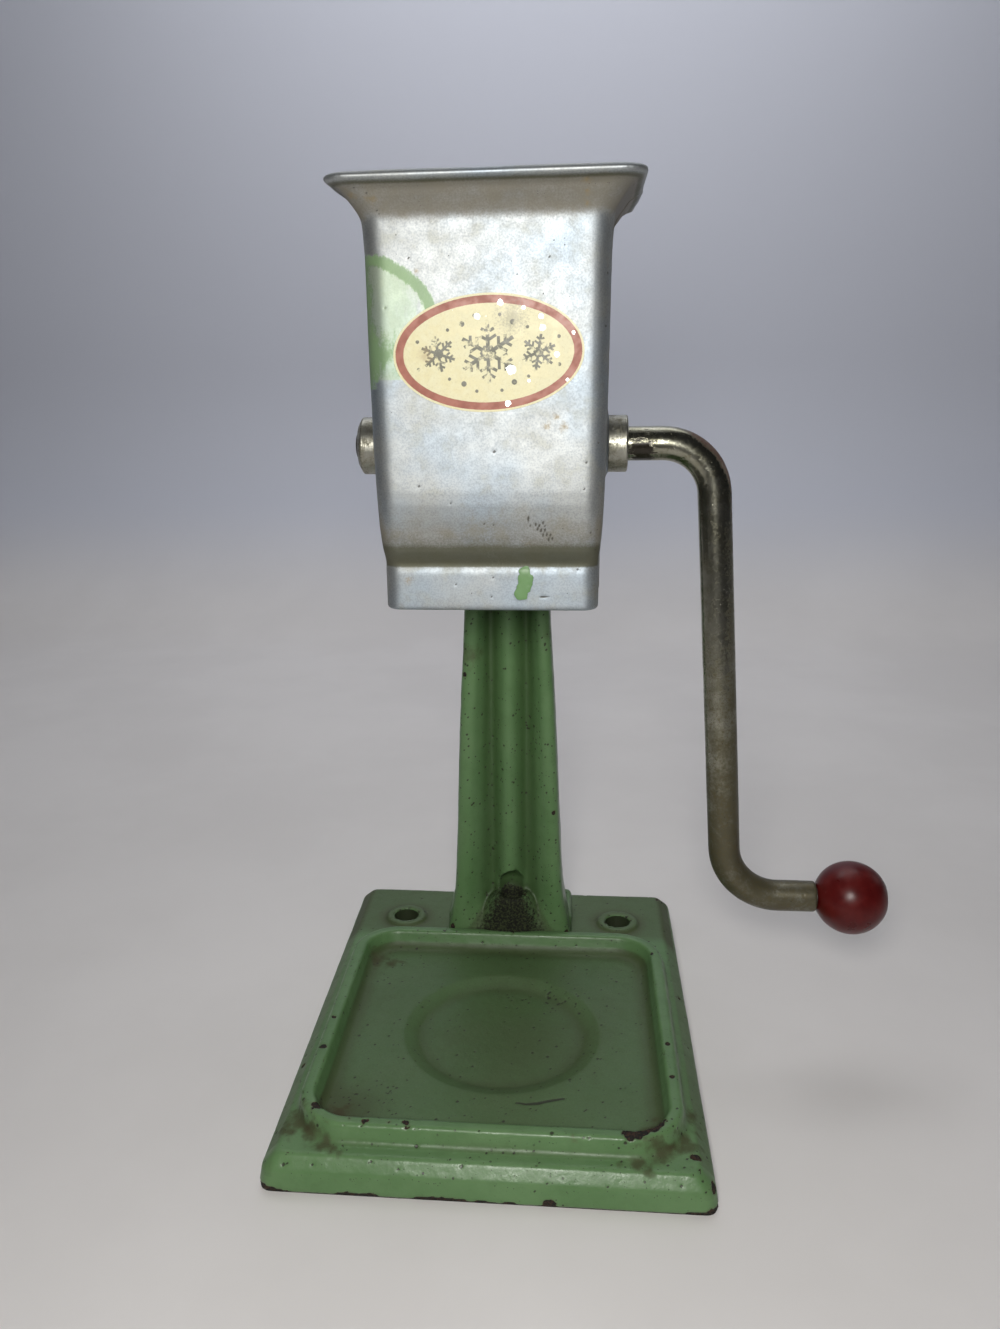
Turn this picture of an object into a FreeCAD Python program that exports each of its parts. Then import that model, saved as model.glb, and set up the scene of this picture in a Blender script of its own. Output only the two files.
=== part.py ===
import FreeCAD, Part
import os, math
from FreeCAD import Vector as V

# Hand crank ice crusher on a cast base.
# Millimetres. X to the right, Y away from the user, Z up.
# Origin: on the table, midway between the base's sides, 95 mm ahead of its back edge.

# ---------------------------------------------------------------- base casting
BASE_V = 7.2          # height of the upright edge
BASE_H = 11.7         # top of the ledge
# height, half width, front, back, plan corner radius
BASE_OUT = [(0.0, 72.6, -90.5, 95.4, 5.0), (BASE_V, 71.3, -89.5, 94.4, 4.5), (BASE_H, 66.8, -86.1, 90.6, 2.8)]
TRAY_CY = -16.4       # centre of the tray
TRAY_HX = 59.0        # half width inside the tray
TRAY_HY = 58.8
TRAY_RI = 14.0        # inside corner radius
TRAY_SLOPE = 2.6      # how far the tray's inner wall leans out to the crest
TRAY_OUT_TOP = 4.2    # rim width at the crest
TRAY_OUT_FOOT = 6.2   # rim width at its foot
TRAY_TOP = 18.0       # crest of the rim
TRAY_FLOOR = 10.8
RING_R = 36.8         # round recess that a tumbler stands in
RING_R0 = 30.4        # its flat floor
RING_X, RING_Y = 0.8, -15.4
RING_DEPTH = 2.4
POCKET_TOP = 4.8      # hollow underside, up to here
SKIRT = 8.0
SCREW_X = 47.0        # two hold-down holes behind the tray
SCREW_Y = 65.0
SCREW_HOLE_R = 5.25
SCREW_BOSS_R = 8.9
SCREW_BOSS_TOP = 13.2

# ------------------------------------------------------------- column casting
COL_Y0 = 46.0         # front of the flanges
COL_Y1 = 66.0         # back of the column
COL_WEB1 = 60.5       # floor of the rear pocket
# half width of the outline against height
COL_W = [(11.7, 27.0), (17.0, 26.0), (24.6, 24.6), (31.7, 23.35), (45.7, 22.15), (68.5, 21.2),
         (95.0, 20.1), (120.7, 18.9), (145.5, 17.45), (154.0, 17.0), (166.0, 16.1),
         (178.0, 14.2), (192.0, 11.2), (212.0, 9.4), (248.0, 8.6)]
BEAD_X = 0.4          # middle of the bead
BEAD_H = 5.0          # how far it stands up from the valleys
VALLEY_X = 6.9        # valleys beside the bead
VALLEY_D = 7.4
FOOT_HX = 26.8        # pad at the back of the foot
FOOT_MID = 21.3       # its raised middle
FOOT_Y0, FOOT_Y1 = 54.5, 81.0
FOOT_TOP = 33.0
FOOT_WING = 20.5
MOUND_TOP = 33.3      # rim of the front screw's hole
HEAD_HX = 22.0        # plate that carries the hopper
HEAD_Z0, HEAD_Z1 = 206.0, 258.0
HEAD_Y0 = 38.0
HEAD_BOLT_Z = [218.0, 246.0]
FOOT_BOLT_X, FOOT_BOLT_Y = 1.4, 50.2

# -------------------------------------------------------------- hopper shells
SHAFT_Y = -2.0        # the shells part on the shaft's plane
SHAFT_Z = 225.2
WALL = 3.2
HOP_Z0 = 176.0
RIM_Z1 = 303.2
HOP_YF = -40.0        # front face
HOP_YR = 36.0         # back face
LIP_YF = -34.5        # front of the outlet
OUT_YR = 6.5          # back of the outlet
SEAM_DRAFT = 0.7      # walls lean out towards the parting plane
REAR_PROUD = 0.35     # mismatch of the two castings

# ------------------------------------------------------------- crank and knob
ROD_R = 11.11 / 2
BUSH_BORE_R = 5.60
BUSH_R = 8.0
COLLAR_R = 9.2
PAD_R = 10.0
PAD_X = 36.9
COLLAR_X = 43.1
BOSS_R = 9.4          # left bush: plain to BOSS_X, coned to BOSS_END
BOSS_X = 44.4
BOSS_END = 45.6
ARM_TOP_X = 70.9      # where the arm's line meets the shaft's line
ARM_BOT_X = 82.4      # where the arm's line meets the handle's line
HANDLE_Z = 62.8
BEND_TOP_R = 17.5
BEND_BOT_R = 20.0
KNOB_X = 127.0
KNOB_R = 13.05
KNOB_FLAT = 114.7
ROD_END_X = 114.4
ROD_LEFT_X = -46.8

# --------------------------------------------------------------------- rotor
HUB_R = 11.0
HUB_HX = 28.6
WHEEL_X = [-21.0, -7.0, 7.0, 21.0]
WHEEL_T = 5.0
TOOTH_R = 27.0
COMB_X = [(-26.6, 3.0), (-14.0, 6.0), (0.0, 6.0), (14.0, 6.0), (26.6, 3.0)]

# ---------------------------------------------------------------------- label
LABEL_A, LABEL_B = 27.9, 16.7
LABEL_C = (0.5, 254.3)
LABEL_T = 0.25
LABEL_TILT = 1.3

X, Y, Z = V(1, 0, 0), V(0, 1, 0), V(0, 0, 1)


def rrect(x0, x1, y0, y1, r, z):
    """Rounded rectangle wire, counter-clockwise, at height z."""
    k = r * (1 - math.sqrt(0.5))
    e = [
        Part.LineSegment(V(x0 + r, y0, z), V(x1 - r, y0, z)),
        Part.Arc(V(x1 - r, y0, z), V(x1 - k, y0 + k, z), V(x1, y0 + r, z)),
        Part.LineSegment(V(x1, y0 + r, z), V(x1, y1 - r, z)),
        Part.Arc(V(x1, y1 - r, z), V(x1 - k, y1 - k, z), V(x1 - r, y1, z)),
        Part.LineSegment(V(x1 - r, y1, z), V(x0 + r, y1, z)),
        Part.Arc(V(x0 + r, y1, z), V(x0 + k, y1 - k, z), V(x0, y1 - r, z)),
        Part.LineSegment(V(x0, y1 - r, z), V(x0, y0 + r, z)),
        Part.Arc(V(x0, y0 + r, z), V(x0 + k, y0 + k, z), V(x0 + r, y0, z)),
    ]
    return Part.Wire([s.toShape() for s in e])


def prism(wire, vec):
    return Part.Face(wire).extrude(vec)


def loft(wires, ruled=True):
    return Part.makeLoft(wires, True, ruled)


def cyl(r, h, p, d=Z):
    return Part.makeCylinder(r, h, p, d)


def box(x0, x1, y0, y1, z0, z1):
    return Part.makeBox(x1 - x0, y1 - y0, z1 - z0, V(x0, y0, z0))


def poly(points):
    pts = [V(*p) for p in points]
    return Part.makePolygon(pts + [pts[0]])


def fillet(shape, r, pick):
    """Round the edges that pick() chooses; smaller if the full radius won't go on."""
    edges = [e for e in shape.Edges if pick(e)]
    if not edges:
        print("no edges for fillet", r)
        return shape
    for k in (1.0, 0.75, 0.5, 0.3):
        try:
            s = shape.makeFillet(r * k, edges)
            if s.isValid() and s.Volume > 0:
                if k < 1:
                    print("fillet eased to", r * k)
                return s
        except Exception:
            pass
    print("fillet left off", r, len(edges))
    return shape


def one(shape):
    """The single solid of a boolean's result."""
    s = shape.Solids
    if len(s) != 1:
        s = sorted(s, key=lambda q: -q.Volume)
        print("warning: several solids", [round(q.Volume, 2) for q in s])
    return s[0]


def smooth(a, b, x):
    t = min(1.0, max(0.0, (x - a) / (b - a)))
    return t * t * (3 - 2 * t)


def zspan(e):
    b = e.BoundBox
    return b.ZMin, b.ZMax


def flat_at(e, z, tol=0.02):
    a, b = zspan(e)
    return abs(a - z) < tol and abs(b - z) < tol


# ======================================================================= base
def make_base():
    b = loft([rrect(-h, h, y0, y1, r, z) for z, h, y0, y1, r in BASE_OUT])
    hx, yf = BASE_OUT[0][1], BASE_OUT[0][2]
    # the tray's rim
    fo, ft = TRAY_OUT_FOOT, TRAY_OUT_TOP

    def tr(off, z):
        return rrect(-TRAY_HX - off, TRAY_HX + off, TRAY_CY - TRAY_HY - off, TRAY_CY + TRAY_HY + off, TRAY_RI + off, z)

    rim = loft([tr(fo, BASE_H - 2.0), tr(ft, TRAY_TOP)])
    b = b.fuse(rim)
    # bosses round the hold-down holes
    for sx in (-1, 1):
        boss = Part.makeCone(SCREW_BOSS_R + 0.5, SCREW_BOSS_R - 0.2, SCREW_BOSS_TOP - BASE_H + 2, V(sx * SCREW_X, SCREW_Y, BASE_H - 2))
        b = b.fuse(boss)
    b = one(b.removeSplitter())
    # soft casting edges outside
    b = fillet(b, 1.6, lambda e: flat_at(e, TRAY_TOP) and e.BoundBox.YMax < 60)
    b = fillet(b, 2.2, lambda e: flat_at(e, BASE_H) and abs(e.CenterOfMass.x) < 66.0 and e.CenterOfMass.y < 50
               and e.BoundBox.YMin > -84.5 and e.BoundBox.XMax < 66.2 and e.BoundBox.XMin > -66.2)
    b = fillet(b, 0.8, lambda e: flat_at(e, SCREW_BOSS_TOP))
    b = fillet(b, 2.2, lambda e: flat_at(e, BASE_V))
    b = fillet(b, 1.2, lambda e: flat_at(e, BASE_H) and (e.BoundBox.YMin < -84.5 or e.BoundBox.XMax > 66.2 or e.BoundBox.XMin < -66.2 or e.BoundBox.YMax > 84.5)
               and e.Length > 8)
    # the well of the tray
    well = loft([tr(-TRAY_SLOPE, TRAY_FLOOR), tr(0, TRAY_TOP)])
    well = fillet(well, 4.0, lambda e: flat_at(e, TRAY_FLOOR))
    b = b.cut(well)
    b = one(b)
    b = fillet(b, 1.1, lambda e: zspan(e)[0] > TRAY_TOP - 0.6 and e.BoundBox.XMax < TRAY_HX + 0.2 and e.BoundBox.XMin > -TRAY_HX - 0.2
               and e.BoundBox.YMax < TRAY_CY + TRAY_HY + 0.2 and e.BoundBox.YMin > TRAY_CY - TRAY_HY - 0.2)
    # the round recess
    ring = Part.makeCone(RING_R0, RING_R, RING_DEPTH, V(RING_X, RING_Y, TRAY_FLOOR - RING_DEPTH))
    ring = fillet(ring, 3.0, lambda e: flat_at(e, TRAY_FLOOR - RING_DEPTH))
    ring = ring.fuse(cyl(RING_R, 3, V(RING_X, RING_Y, TRAY_FLOOR)))
    b = one(b.cut(ring))
    b = fillet(b, 0.8, lambda e: flat_at(e, TRAY_FLOOR) and abs(e.BoundBox.XMax - RING_X - RING_R) < 0.1)
    # hold-down holes
    for sx in (-1, 1):
        b = b.cut(cyl(SCREW_HOLE_R, 30, V(sx * SCREW_X, SCREW_Y, -5)))
    b = one(b)
    b = fillet(b, 0.7, lambda e: flat_at(e, SCREW_BOSS_TOP) and abs(abs(e.CenterOfMass.x) - SCREW_X) < 1 and e.BoundBox.XLength < 2 * SCREW_HOLE_R + 0.5)
    # hollow underside with two ribs, and solid behind where the column stands
    pocket = prism(rrect(-hx + SKIRT, hx - SKIRT, yf + SKIRT, 36.0, 7.0, -1), V(0, 0, POCKET_TOP + 1))
    pocket = pocket.cut(box(-2.5, 2.5, -100, 100, 1.2, 20)).cut(box(-hx, hx, TRAY_CY - 2.5, TRAY_CY + 2.5, 1.2, 20))
    b = b.cut(pocket)
    # column fixings: one screw down from the front, two bolts up from below
    b = b.cut(cyl(3.4, 30, V(FOOT_BOLT_X, FOOT_BOLT_Y, -5)))
    b = b.cut(cyl(8.2, 6.6, V(FOOT_BOLT_X, FOOT_BOLT_Y, -0.6)))
    for sx in (-1, 1):
        b = b.cut(cyl(3.4, 30, V(sx * 15.0, 71.0, -5)))
        b = b.cut(cyl(8.2, 6.6, V(sx * 15.0, 71.0, -0.6)))
    return one(b)


# ===================================================================== column
def col_w(z):
    t = COL_W
    for (z0, w0), (z1, w1) in zip(t, t[1:]):
        if z <= z1:
            return w0 + (w1 - w0) * (z - z0) / (z1 - z0)
    return t[-1][1]


def outline(y, pts_r, z_bot, z_top):
    """Closed outline in a plane of constant Y: smooth sides through (x, z) points, flat foot and top."""
    pr = [V(x, y, z) for x, z in pts_r]
    pl = [V(-x, y, z) for x, z in pts_r]
    r = Part.BSplineCurve()
    r.interpolate(pr)
    l = Part.BSplineCurve()
    l.interpolate(pl)
    return Part.Wire([Part.LineSegment(pl[0], pr[0]).toShape(), r.toShape(),
                      Part.LineSegment(pr[-1], pl[-1]).toShape(), l.toShape()])


def make_column():
    z_top = COL_W[-1][0]
    blade = prism(outline(COL_Y0, [(w, z) for z, w in COL_W], BASE_H, z_top), V(0, COL_Y1 - COL_Y0, 0))
    blade = fillet(blade, 3.0, lambda e: e.BoundBox.YLength < 0.02 and abs(e.CenterOfMass.y - COL_Y0) < 0.02 and e.Length > 100)
    blade = fillet(blade, 2.0, lambda e: e.BoundBox.YLength < 0.02 and abs(e.CenterOfMass.y - COL_Y1) < 0.02 and e.Length > 100)
    # the back leans in towards the head
    lean = prism(poly([(-40, 60, 256), (-40, 54.0, 256), (-40, 60.0, 190), (-40, 70, 130), (-40, 90, 130), (-40, 90, 256)]), V(80, 0, 0))
    blade = one(blade.cut(lean))
    # one wide, soft groove in front, with a round bead down its middle
    def groove_at(z):
        """Plan section of what is cut away: two valleys with a ridge between them."""
        k = smooth(13.0, 34.0, z) * (1 - 0.8 * smooth(172.0, 188.0, z))
        w = col_w(z)
        a = max(VALLEY_X + 1.6, w - 4.0)
        pts = []
        for sx in (-1, 1):
            side = []
            for i in range(8):
                t = i / 7.0
                side.append((BEAD_X + sx * (a + (VALLEY_X - a) * t), COL_Y0 - 0.05 + k * VALLEY_D * (0.5 - 0.5 * math.cos(math.pi * t))))
            for i in range(1, 6):
                q = 1 - i / 6.0
                up = 0.5 * (0.5 - 0.5 * math.cos(math.pi * q)) + 0.5 * (1 - math.cos(math.pi / 2 * q))
                side.append((BEAD_X + sx * VALLEY_X * q, COL_Y0 - 0.05 + k * (VALLEY_D - BEAD_H * (1 - up))))
            pts += side if sx < 0 else [(BEAD_X, COL_Y0 - 0.05 + k * (VALLEY_D - BEAD_H))] + side[::-1]
        c = Part.BSplineCurve()
        c.interpolate([V(x, y, z) for x, y in pts])
        x0, x1 = pts[0][0], pts[-1][0]
        yb = COL_Y0 - 3.0
        return Part.Wire([c.toShape(), Part.LineSegment(V(x1, COL_Y0 - 0.05, z), V(x1, yb, z)).toShape(),
                          Part.LineSegment(V(x1, yb, z), V(x0, yb, z)).toShape(), Part.LineSegment(V(x0, yb, z), V(x0, COL_Y0 - 0.05, z)).toShape()])

    groove = loft([groove_at(z) for z in (14.0, 17.0, 20.0, 23.0, 26.0, 29.0, 32.0, 36.0, 46.0, 70.0, 95.0, 120.0, 145.0, 160.0, 172.0, 177.0, 182.0, 188.0)])
    col = one(blade.cut(groove))
    # rear pocket
    r0 = outline(COL_Y1 + 0.02, [(col_w(z) - 4.2, z) for z in (38.0, 60.0, 95.0, 125.0, 150.0)], 0, 0)
    r1 = outline(COL_WEB1, [(col_w(z) - 5.6, z) for z in (38.0, 60.0, 95.0, 125.0, 150.0)], 0, 0)
    col = one(col.cut(loft([r0, r1])))
    # the foot: a pad with low wings behind, a round mound in front
    pad = box(-FOOT_HX, FOOT_HX, FOOT_Y0, FOOT_Y1, BASE_H, FOOT_WING)
    pad = fillet(pad, 2.5, lambda e: zspan(e)[1] > FOOT_WING - 0.01)
    mid = box(-FOOT_MID, FOOT_MID, FOOT_Y0, FOOT_Y1 - 1.5, BASE_H, FOOT_TOP)
    mid = fillet(mid, 3.0, lambda e: zspan(e)[1] > FOOT_TOP - 0.01)
    col = one(col.fuse(pad).fuse(mid))
    # mound: height, half width, half depth, front
    rings = []
    for z, a, h, yf in ((BASE_H, 22.0, 11.0, 44.3), (16.0, 19.0, 10.6, 44.3), (21.0, 15.6, 9.8, 44.2), (26.0, 12.2, 8.8, 44.0),
                        (30.0, 9.6, 7.6, 43.8), (32.2, 8.0, 6.8, 43.9), (MOUND_TOP, 6.6, 5.8, 44.4)):
        k = (z - BASE_H) / (MOUND_TOP - BASE_H)
        rings.append(Part.Wire([Part.Ellipse(V(FOOT_BOLT_X * k + 0.3 * (1 - k), yf + h, z), a, h).toShape()]))
    col = one(col.fuse(loft(rings, False)))
    # niche and hole for the front screw
    niche = cyl(5.7, 5.6, V(FOOT_BOLT_X, FOOT_BOLT_Y, MOUND_TOP)).fuse(
        Part.makeCone(5.7, 2.0, 4.6, V(FOOT_BOLT_X, FOOT_BOLT_Y, MOUND_TOP + 5.6)))
    col = col.cut(niche)
    col = col.cut(cyl(4.5, 12.0, V(FOOT_BOLT_X, FOOT_BOLT_Y, 23.0)))
    col = one(col.cut(cyl(3.4, 30.0, V(FOOT_BOLT_X, FOOT_BOLT_Y, 0))))
    col = fillet(col, 0.6, lambda e: flat_at(e, MOUND_TOP) and hasattr(e.Curve, "Radius") and abs(e.Curve.Radius - 4.5) < 0.01)
    for sx in (-1, 1):
        col = col.cut(cyl(3.2, 16.0, V(sx * 15.0, 71.0, BASE_H - 2)))
    # head plate that carries the hopper
    plate = Part.Wire([s.toShape() for s in (
        Part.LineSegment(V(-HEAD_HX + 7, HEAD_Y0, HEAD_Z0), V(HEAD_HX - 7, HEAD_Y0, HEAD_Z0)),
        Part.Arc(V(HEAD_HX - 7, HEAD_Y0, HEAD_Z0), V(HEAD_HX - 2.05, HEAD_Y0, HEAD_Z0 + 2.05), V(HEAD_HX, HEAD_Y0, HEAD_Z0 + 7)),
        Part.LineSegment(V(HEAD_HX, HEAD_Y0, HEAD_Z0 + 7), V(HEAD_HX, HEAD_Y0, HEAD_Z1 - 7)),
        Part.Arc(V(HEAD_HX, HEAD_Y0, HEAD_Z1 - 7), V(HEAD_HX - 2.05, HEAD_Y0, HEAD_Z1 - 2.05), V(HEAD_HX - 7, HEAD_Y0, HEAD_Z1)),
        Part.LineSegment(V(HEAD_HX - 7, HEAD_Y0, HEAD_Z1), V(-HEAD_HX + 7, HEAD_Y0, HEAD_Z1)),
        Part.Arc(V(-HEAD_HX + 7, HEAD_Y0, HEAD_Z1), V(-HEAD_HX + 2.05, HEAD_Y0, HEAD_Z1 - 2.05), V(-HEAD_HX, HEAD_Y0, HEAD_Z1 - 7)),
        Part.LineSegment(V(-HEAD_HX, HEAD_Y0, HEAD_Z1 - 7), V(-HEAD_HX, HEAD_Y0, HEAD_Z0 + 7)),
        Part.Arc(V(-HEAD_HX, HEAD_Y0, HEAD_Z0 + 7), V(-HEAD_HX + 2.05, HEAD_Y0, HEAD_Z0 + 2.05), V(-HEAD_HX + 7, HEAD_Y0, HEAD_Z0)),
    )])
    plate = prism(plate, V(0, COL_Y0 + 0.6 - HEAD_Y0, 0))
    plate = fillet(plate, 1.5, lambda e: e.BoundBox.YLength < 0.02 and e.CenterOfMass.y > COL_Y0)
    col = col.fuse(plate)
    # gusset under the head plate
    gus = prism(poly([(-8.5, HEAD_Y0 + 2, HEAD_Z0 + 4), (-8.5, COL_Y0 + 4, HEAD_Z0 - 20), (-8.5, COL_Y0 + 10, HEAD_Z0 - 20), (-8.5, COL_Y0 + 10, HEAD_Z0 + 4)]), V(17, 0, 0))
    col = one(col.fuse(gus))
    for sx in (-1, 1):
        for z in HEAD_BOLT_Z:
            col = col.cut(cyl(3.4, 20, V(sx * 15.5, 30, z), Y))
    return one(col.removeSplitter())


# ===================================================================== hopper
def table(t, z):
    for (z0, v0), (z1, v1) in zip(t, t[1:]):
        if z <= z1:
            return v0 + (v1 - v0) * (max(z, z0) - z0) / (z1 - z0)
    return t[-1][1]


# half width of the body against height
HOP_W = [(176.0, 33.75), (190.0, 33.75), (192.0, 33.85), (198.0, 34.4), (203.0, 34.75), (220.0, 35.3), (241.0, 35.65), (258.0, 35.75), (285.0, 35.95)]
# front face against height: lip, groove under the belly, belly
HOP_F = [(188.3, -34.5), (189.6, -34.2), (190.6, -33.6), (192.0, -34.3), (195.0, -36.3), (200.0, -37.8), (205.0, -38.9), (210.0, -39.7), (214.0, -40.0)]
# how far the mouth flares outside the body, ending in a round bead
FLARE = [(282.0, 0.0), (284.0, 0.05), (286.5, 0.15), (289.2, 0.3), (291.4, 0.5), (292.7, 0.95), (294.0, 1.65), (295.7, 2.8), (297.2, 4.0),
         (298.9, 5.15), (300.1, 7.05), (300.3, 7.5), (300.7, 8.7), (301.3, 9.25), (301.9, 9.4), (302.5, 9.1), (303.0, 8.3), (RIM_Z1, 7.6)]
# the same for the mouth's inside
FLARE_IN = [(284.0, 0.0), (289.0, 0.25), (292.0, 0.9), (295.0, 2.4), (298.0, 4.5), (300.5, 6.3), (302.3, 7.4), (RIM_Z1, 8.3)]


def hop(z, inside=False):
    d = table(FLARE_IN if inside else FLARE, z)
    s = smooth(190.0, 214.0, z)
    yf = (LIP_YF + (HOP_YF - LIP_YF) * s if inside else table(HOP_F, z)) - d
    yr = OUT_YR + (HOP_YR - OUT_YR) * min(1.0, max(0.0, (z - 184.0) / 32.0)) + d
    r = 5.3 + 1.2 * s + 0.055 * d
    return table(HOP_W, z) + d, yf, yr, r


def hsec(z, inset, proud):
    """Plan section of the hopper: rounded corners, sides drafted out to the parting plane."""
    hw, yf, yr, r = hop(z, inset > 0)
    hw += proud - inset
    yf += inset
    yr -= inset
    yr += proud * 0.5 if inset == 0 else 0.0
    r = max(1.6, r - inset * 0.8)
    s = hw + SEAM_DRAFT
    ym = SHAFT_Y
    k = r * (1 - math.sqrt(0.5))
    g = [
        Part.LineSegment(V(-hw + r, yf, z), V(hw - r, yf, z)),
        Part.Arc(V(hw - r, yf, z), V(hw - k, yf + k, z), V(hw, yf + r, z)),
        Part.LineSegment(V(hw, yf + r, z), V(s, ym, z)),
        Part.LineSegment(V(s, ym, z), V(hw, yr - r, z)),
        Part.Arc(V(hw, yr - r, z), V(hw - k, yr - k, z), V(hw - r, yr, z)),
        Part.LineSegment(V(hw - r, yr, z), V(-hw + r, yr, z)),
        Part.Arc(V(-hw + r, yr, z), V(-hw + k, yr - k, z), V(-hw, yr - r, z)),
        Part.LineSegment(V(-hw, yr - r, z), V(-s, ym, z)),
        Part.LineSegment(V(-s, ym, z), V(-hw, yf + r, z)),
        Part.Arc(V(-hw, yf + r, z), V(-hw + k, yf + k, z), V(-hw + r, yf, z)),
    ]
    return Part.Wire([q.toShape() for q in g])


def hop_solid(inset, proud, ends=0.0):
    t = FLARE_IN if inset > 0 else FLARE
    zs = {HOP_Z0, 184.0, 216.0, RIM_Z1} | {z for z, v in t} | {z for z, v in HOP_W}
    zs |= {190.0, 193.0, 196.0, 199.0, 202.0, 205.0, 208.0, 211.0, 214.0} if inset > 0 else {z for z, v in HOP_F}
    w = [hsec(z, inset, proud) for z in sorted(zs)]
    if ends:
        w = [_moved(w[0], -ends)] + w + [_moved(w[-1], ends)]
    return loft(w)


def _moved(w, dz):
    c = w.copy()
    c.translate(V(0, 0, dz))
    return c


def make_hopper():
    out = {}
    inner = hop_solid(WALL, 0.0, 3.0)
    for name, proud, y0, y1 in (("front", 0.0, -80.0, SHAFT_Y), ("rear", REAR_PROUD, SHAFT_Y, 80.0)):
        outer = hop_solid(0.0, proud)
        outer = fillet(outer, 0.9, lambda e: flat_at(e, HOP_Z0))
        half = box(-80, 80, y0, y1, 150, 330)
        s = outer.common(half)
        # round pads that carry the bearing bushes
        for sx in (-1, 1):
            s = s.fuse(cyl(PAD_R, PAD_X - 33.5, V(sx * 33.5, SHAFT_Y, SHAFT_Z), V(sx, 0, 0)).common(half))
        s = s.cut(inner)
        for sx in (-1, 1):
            s = s.cut(cyl(BUSH_R + 0.05, 20, V(sx * 28.0, SHAFT_Y, SHAFT_Z), V(sx, 0, 0)))
        out[name] = one(s)
    front, rear = out["front"], out["rear"]
    # mounting pad on the back
    pad = box(-HEAD_HX - 0.4, HEAD_HX + 0.4, HOP_YR - 1.5, HEAD_Y0, 216.6 - 5.0, HEAD_Z1 + 3.0)
    pad = fillet(pad, 5.0, lambda e: e.BoundBox.YLength > 1 and e.BoundBox.XLength < 0.1 and e.BoundBox.ZLength < 0.1)
    rear = one(rear.fuse(pad))
    for sx in (-1, 1):
        for z in HEAD_BOLT_Z:
            rear = rear.cut(cyl(3.2, 8.0, V(sx * 15.5, HEAD_Y0 - 7.5, z), Y))
    # comb screws' holes in the back wall
    for sx in (-1, 1):
        rear = rear.cut(cyl(2.6, 12, V(sx * 27.3, 28, 240.0), Y))
    # lugs of the rear shell that reach inside the front one, and the screws' holes
    for sx in (-1, 1):
        for z in (187.0, 262.0):
            hw = hop(z)[0]
            xi = hw - WALL - 0.35
            xa, xb = sorted((sx * (xi - 3.0), sx * xi))
            lug = box(xa, xb, SHAFT_Y - 11.0, SHAFT_Y + 7.0, z - 6.0, z + 6.0)
            lug = fillet(lug, 2.5, lambda e: e.BoundBox.XLength > 2 and e.CenterOfMass.y < SHAFT_Y - 10)
            root = box(*sorted((sx * (xi - 3.0), sx * (hw - 0.8))), SHAFT_Y + 0.4, SHAFT_Y + 7.0, z - 6.0, z + 6.0)
            rear = rear.fuse(lug.fuse(root))
            rear = rear.cut(cyl(2.15, 12, V(sx * (hw - WALL - 6.0), SHAFT_Y - 6.0, z), V(sx, 0, 0)))
            front = front.cut(cyl(2.3, 12, V(sx * (hw - WALL - 6.0), SHAFT_Y - 6.0, z), V(sx, 0, 0)))
            xo = hw + 0.62
            front = front.cut(Part.makeCone(2.3, 4.4, 2.2, V(sx * (xo - 2.2), SHAFT_Y - 6.0, z), V(sx, 0, 0)))
            front = front.cut(cyl(4.4, 2.0, V(sx * xo, SHAFT_Y - 6.0, z), V(sx, 0, 0)))
    return one(front), one(rear)


# ================================================================== fasteners
def chamfered_hex(af, h, p, d, turn=0.0):
    r = af / 2 / math.cos(math.radians(30))
    pts = [V(r * math.cos(math.radians(60 * i + turn)), r * math.sin(math.radians(60 * i + turn)), 0) for i in range(6)]
    s = Part.Face(Part.makePolygon(pts + [pts[0]])).extrude(V(0, 0, h))
    c = Part.makeCylinder(r + 1, h - 0.9).fuse(Part.makeCone(r + 0.05, af / 2 - 0.35, 0.9, V(0, 0, h - 0.9)))
    s = s.common(c)
    s.Placement = FreeCAD.Placement(p, FreeCAD.Rotation(Z, d))
    return s


def place(s, p, d):
    s.Placement = FreeCAD.Placement(p, FreeCAD.Rotation(Z, d))
    return s


def washer(ro, ri, t, p, d):
    return cyl(ro, t, p, d).cut(cyl(ri, t + 2, p - d * 1.0, d))


def slotted(head_r, head_h, shank_r, length, p, d, dome=0.0, slot=1.2):
    """Round-head screw. p is under the head, d points from the head to the tip."""
    h = cyl(head_r, head_h, V(0, 0, -head_h), Z)
    if dome:
        h = fillet(h, dome, lambda e: flat_at(e, -head_h))
    h = h.fuse(cyl(shank_r, length, V(0, 0, -0.2), Z))
    h = h.cut(box(-head_r - 1, head_r + 1, -slot / 2, slot / 2, -head_h - 1, -head_h + head_h * 0.42))
    return place(one(h), p, d)


def countersunk(head_r, head_h, shank_r, length, p, d, slot=1.0):
    h = Part.makeCone(head_r, shank_r, head_h, V(0, 0, 0), Z).fuse(cyl(shank_r, length, V(0, 0, 0), Z))
    h = h.cut(box(-head_r - 1, head_r + 1, -slot / 2, slot / 2, -1, head_h * 0.4))
    return place(one(h), p, d)


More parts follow.
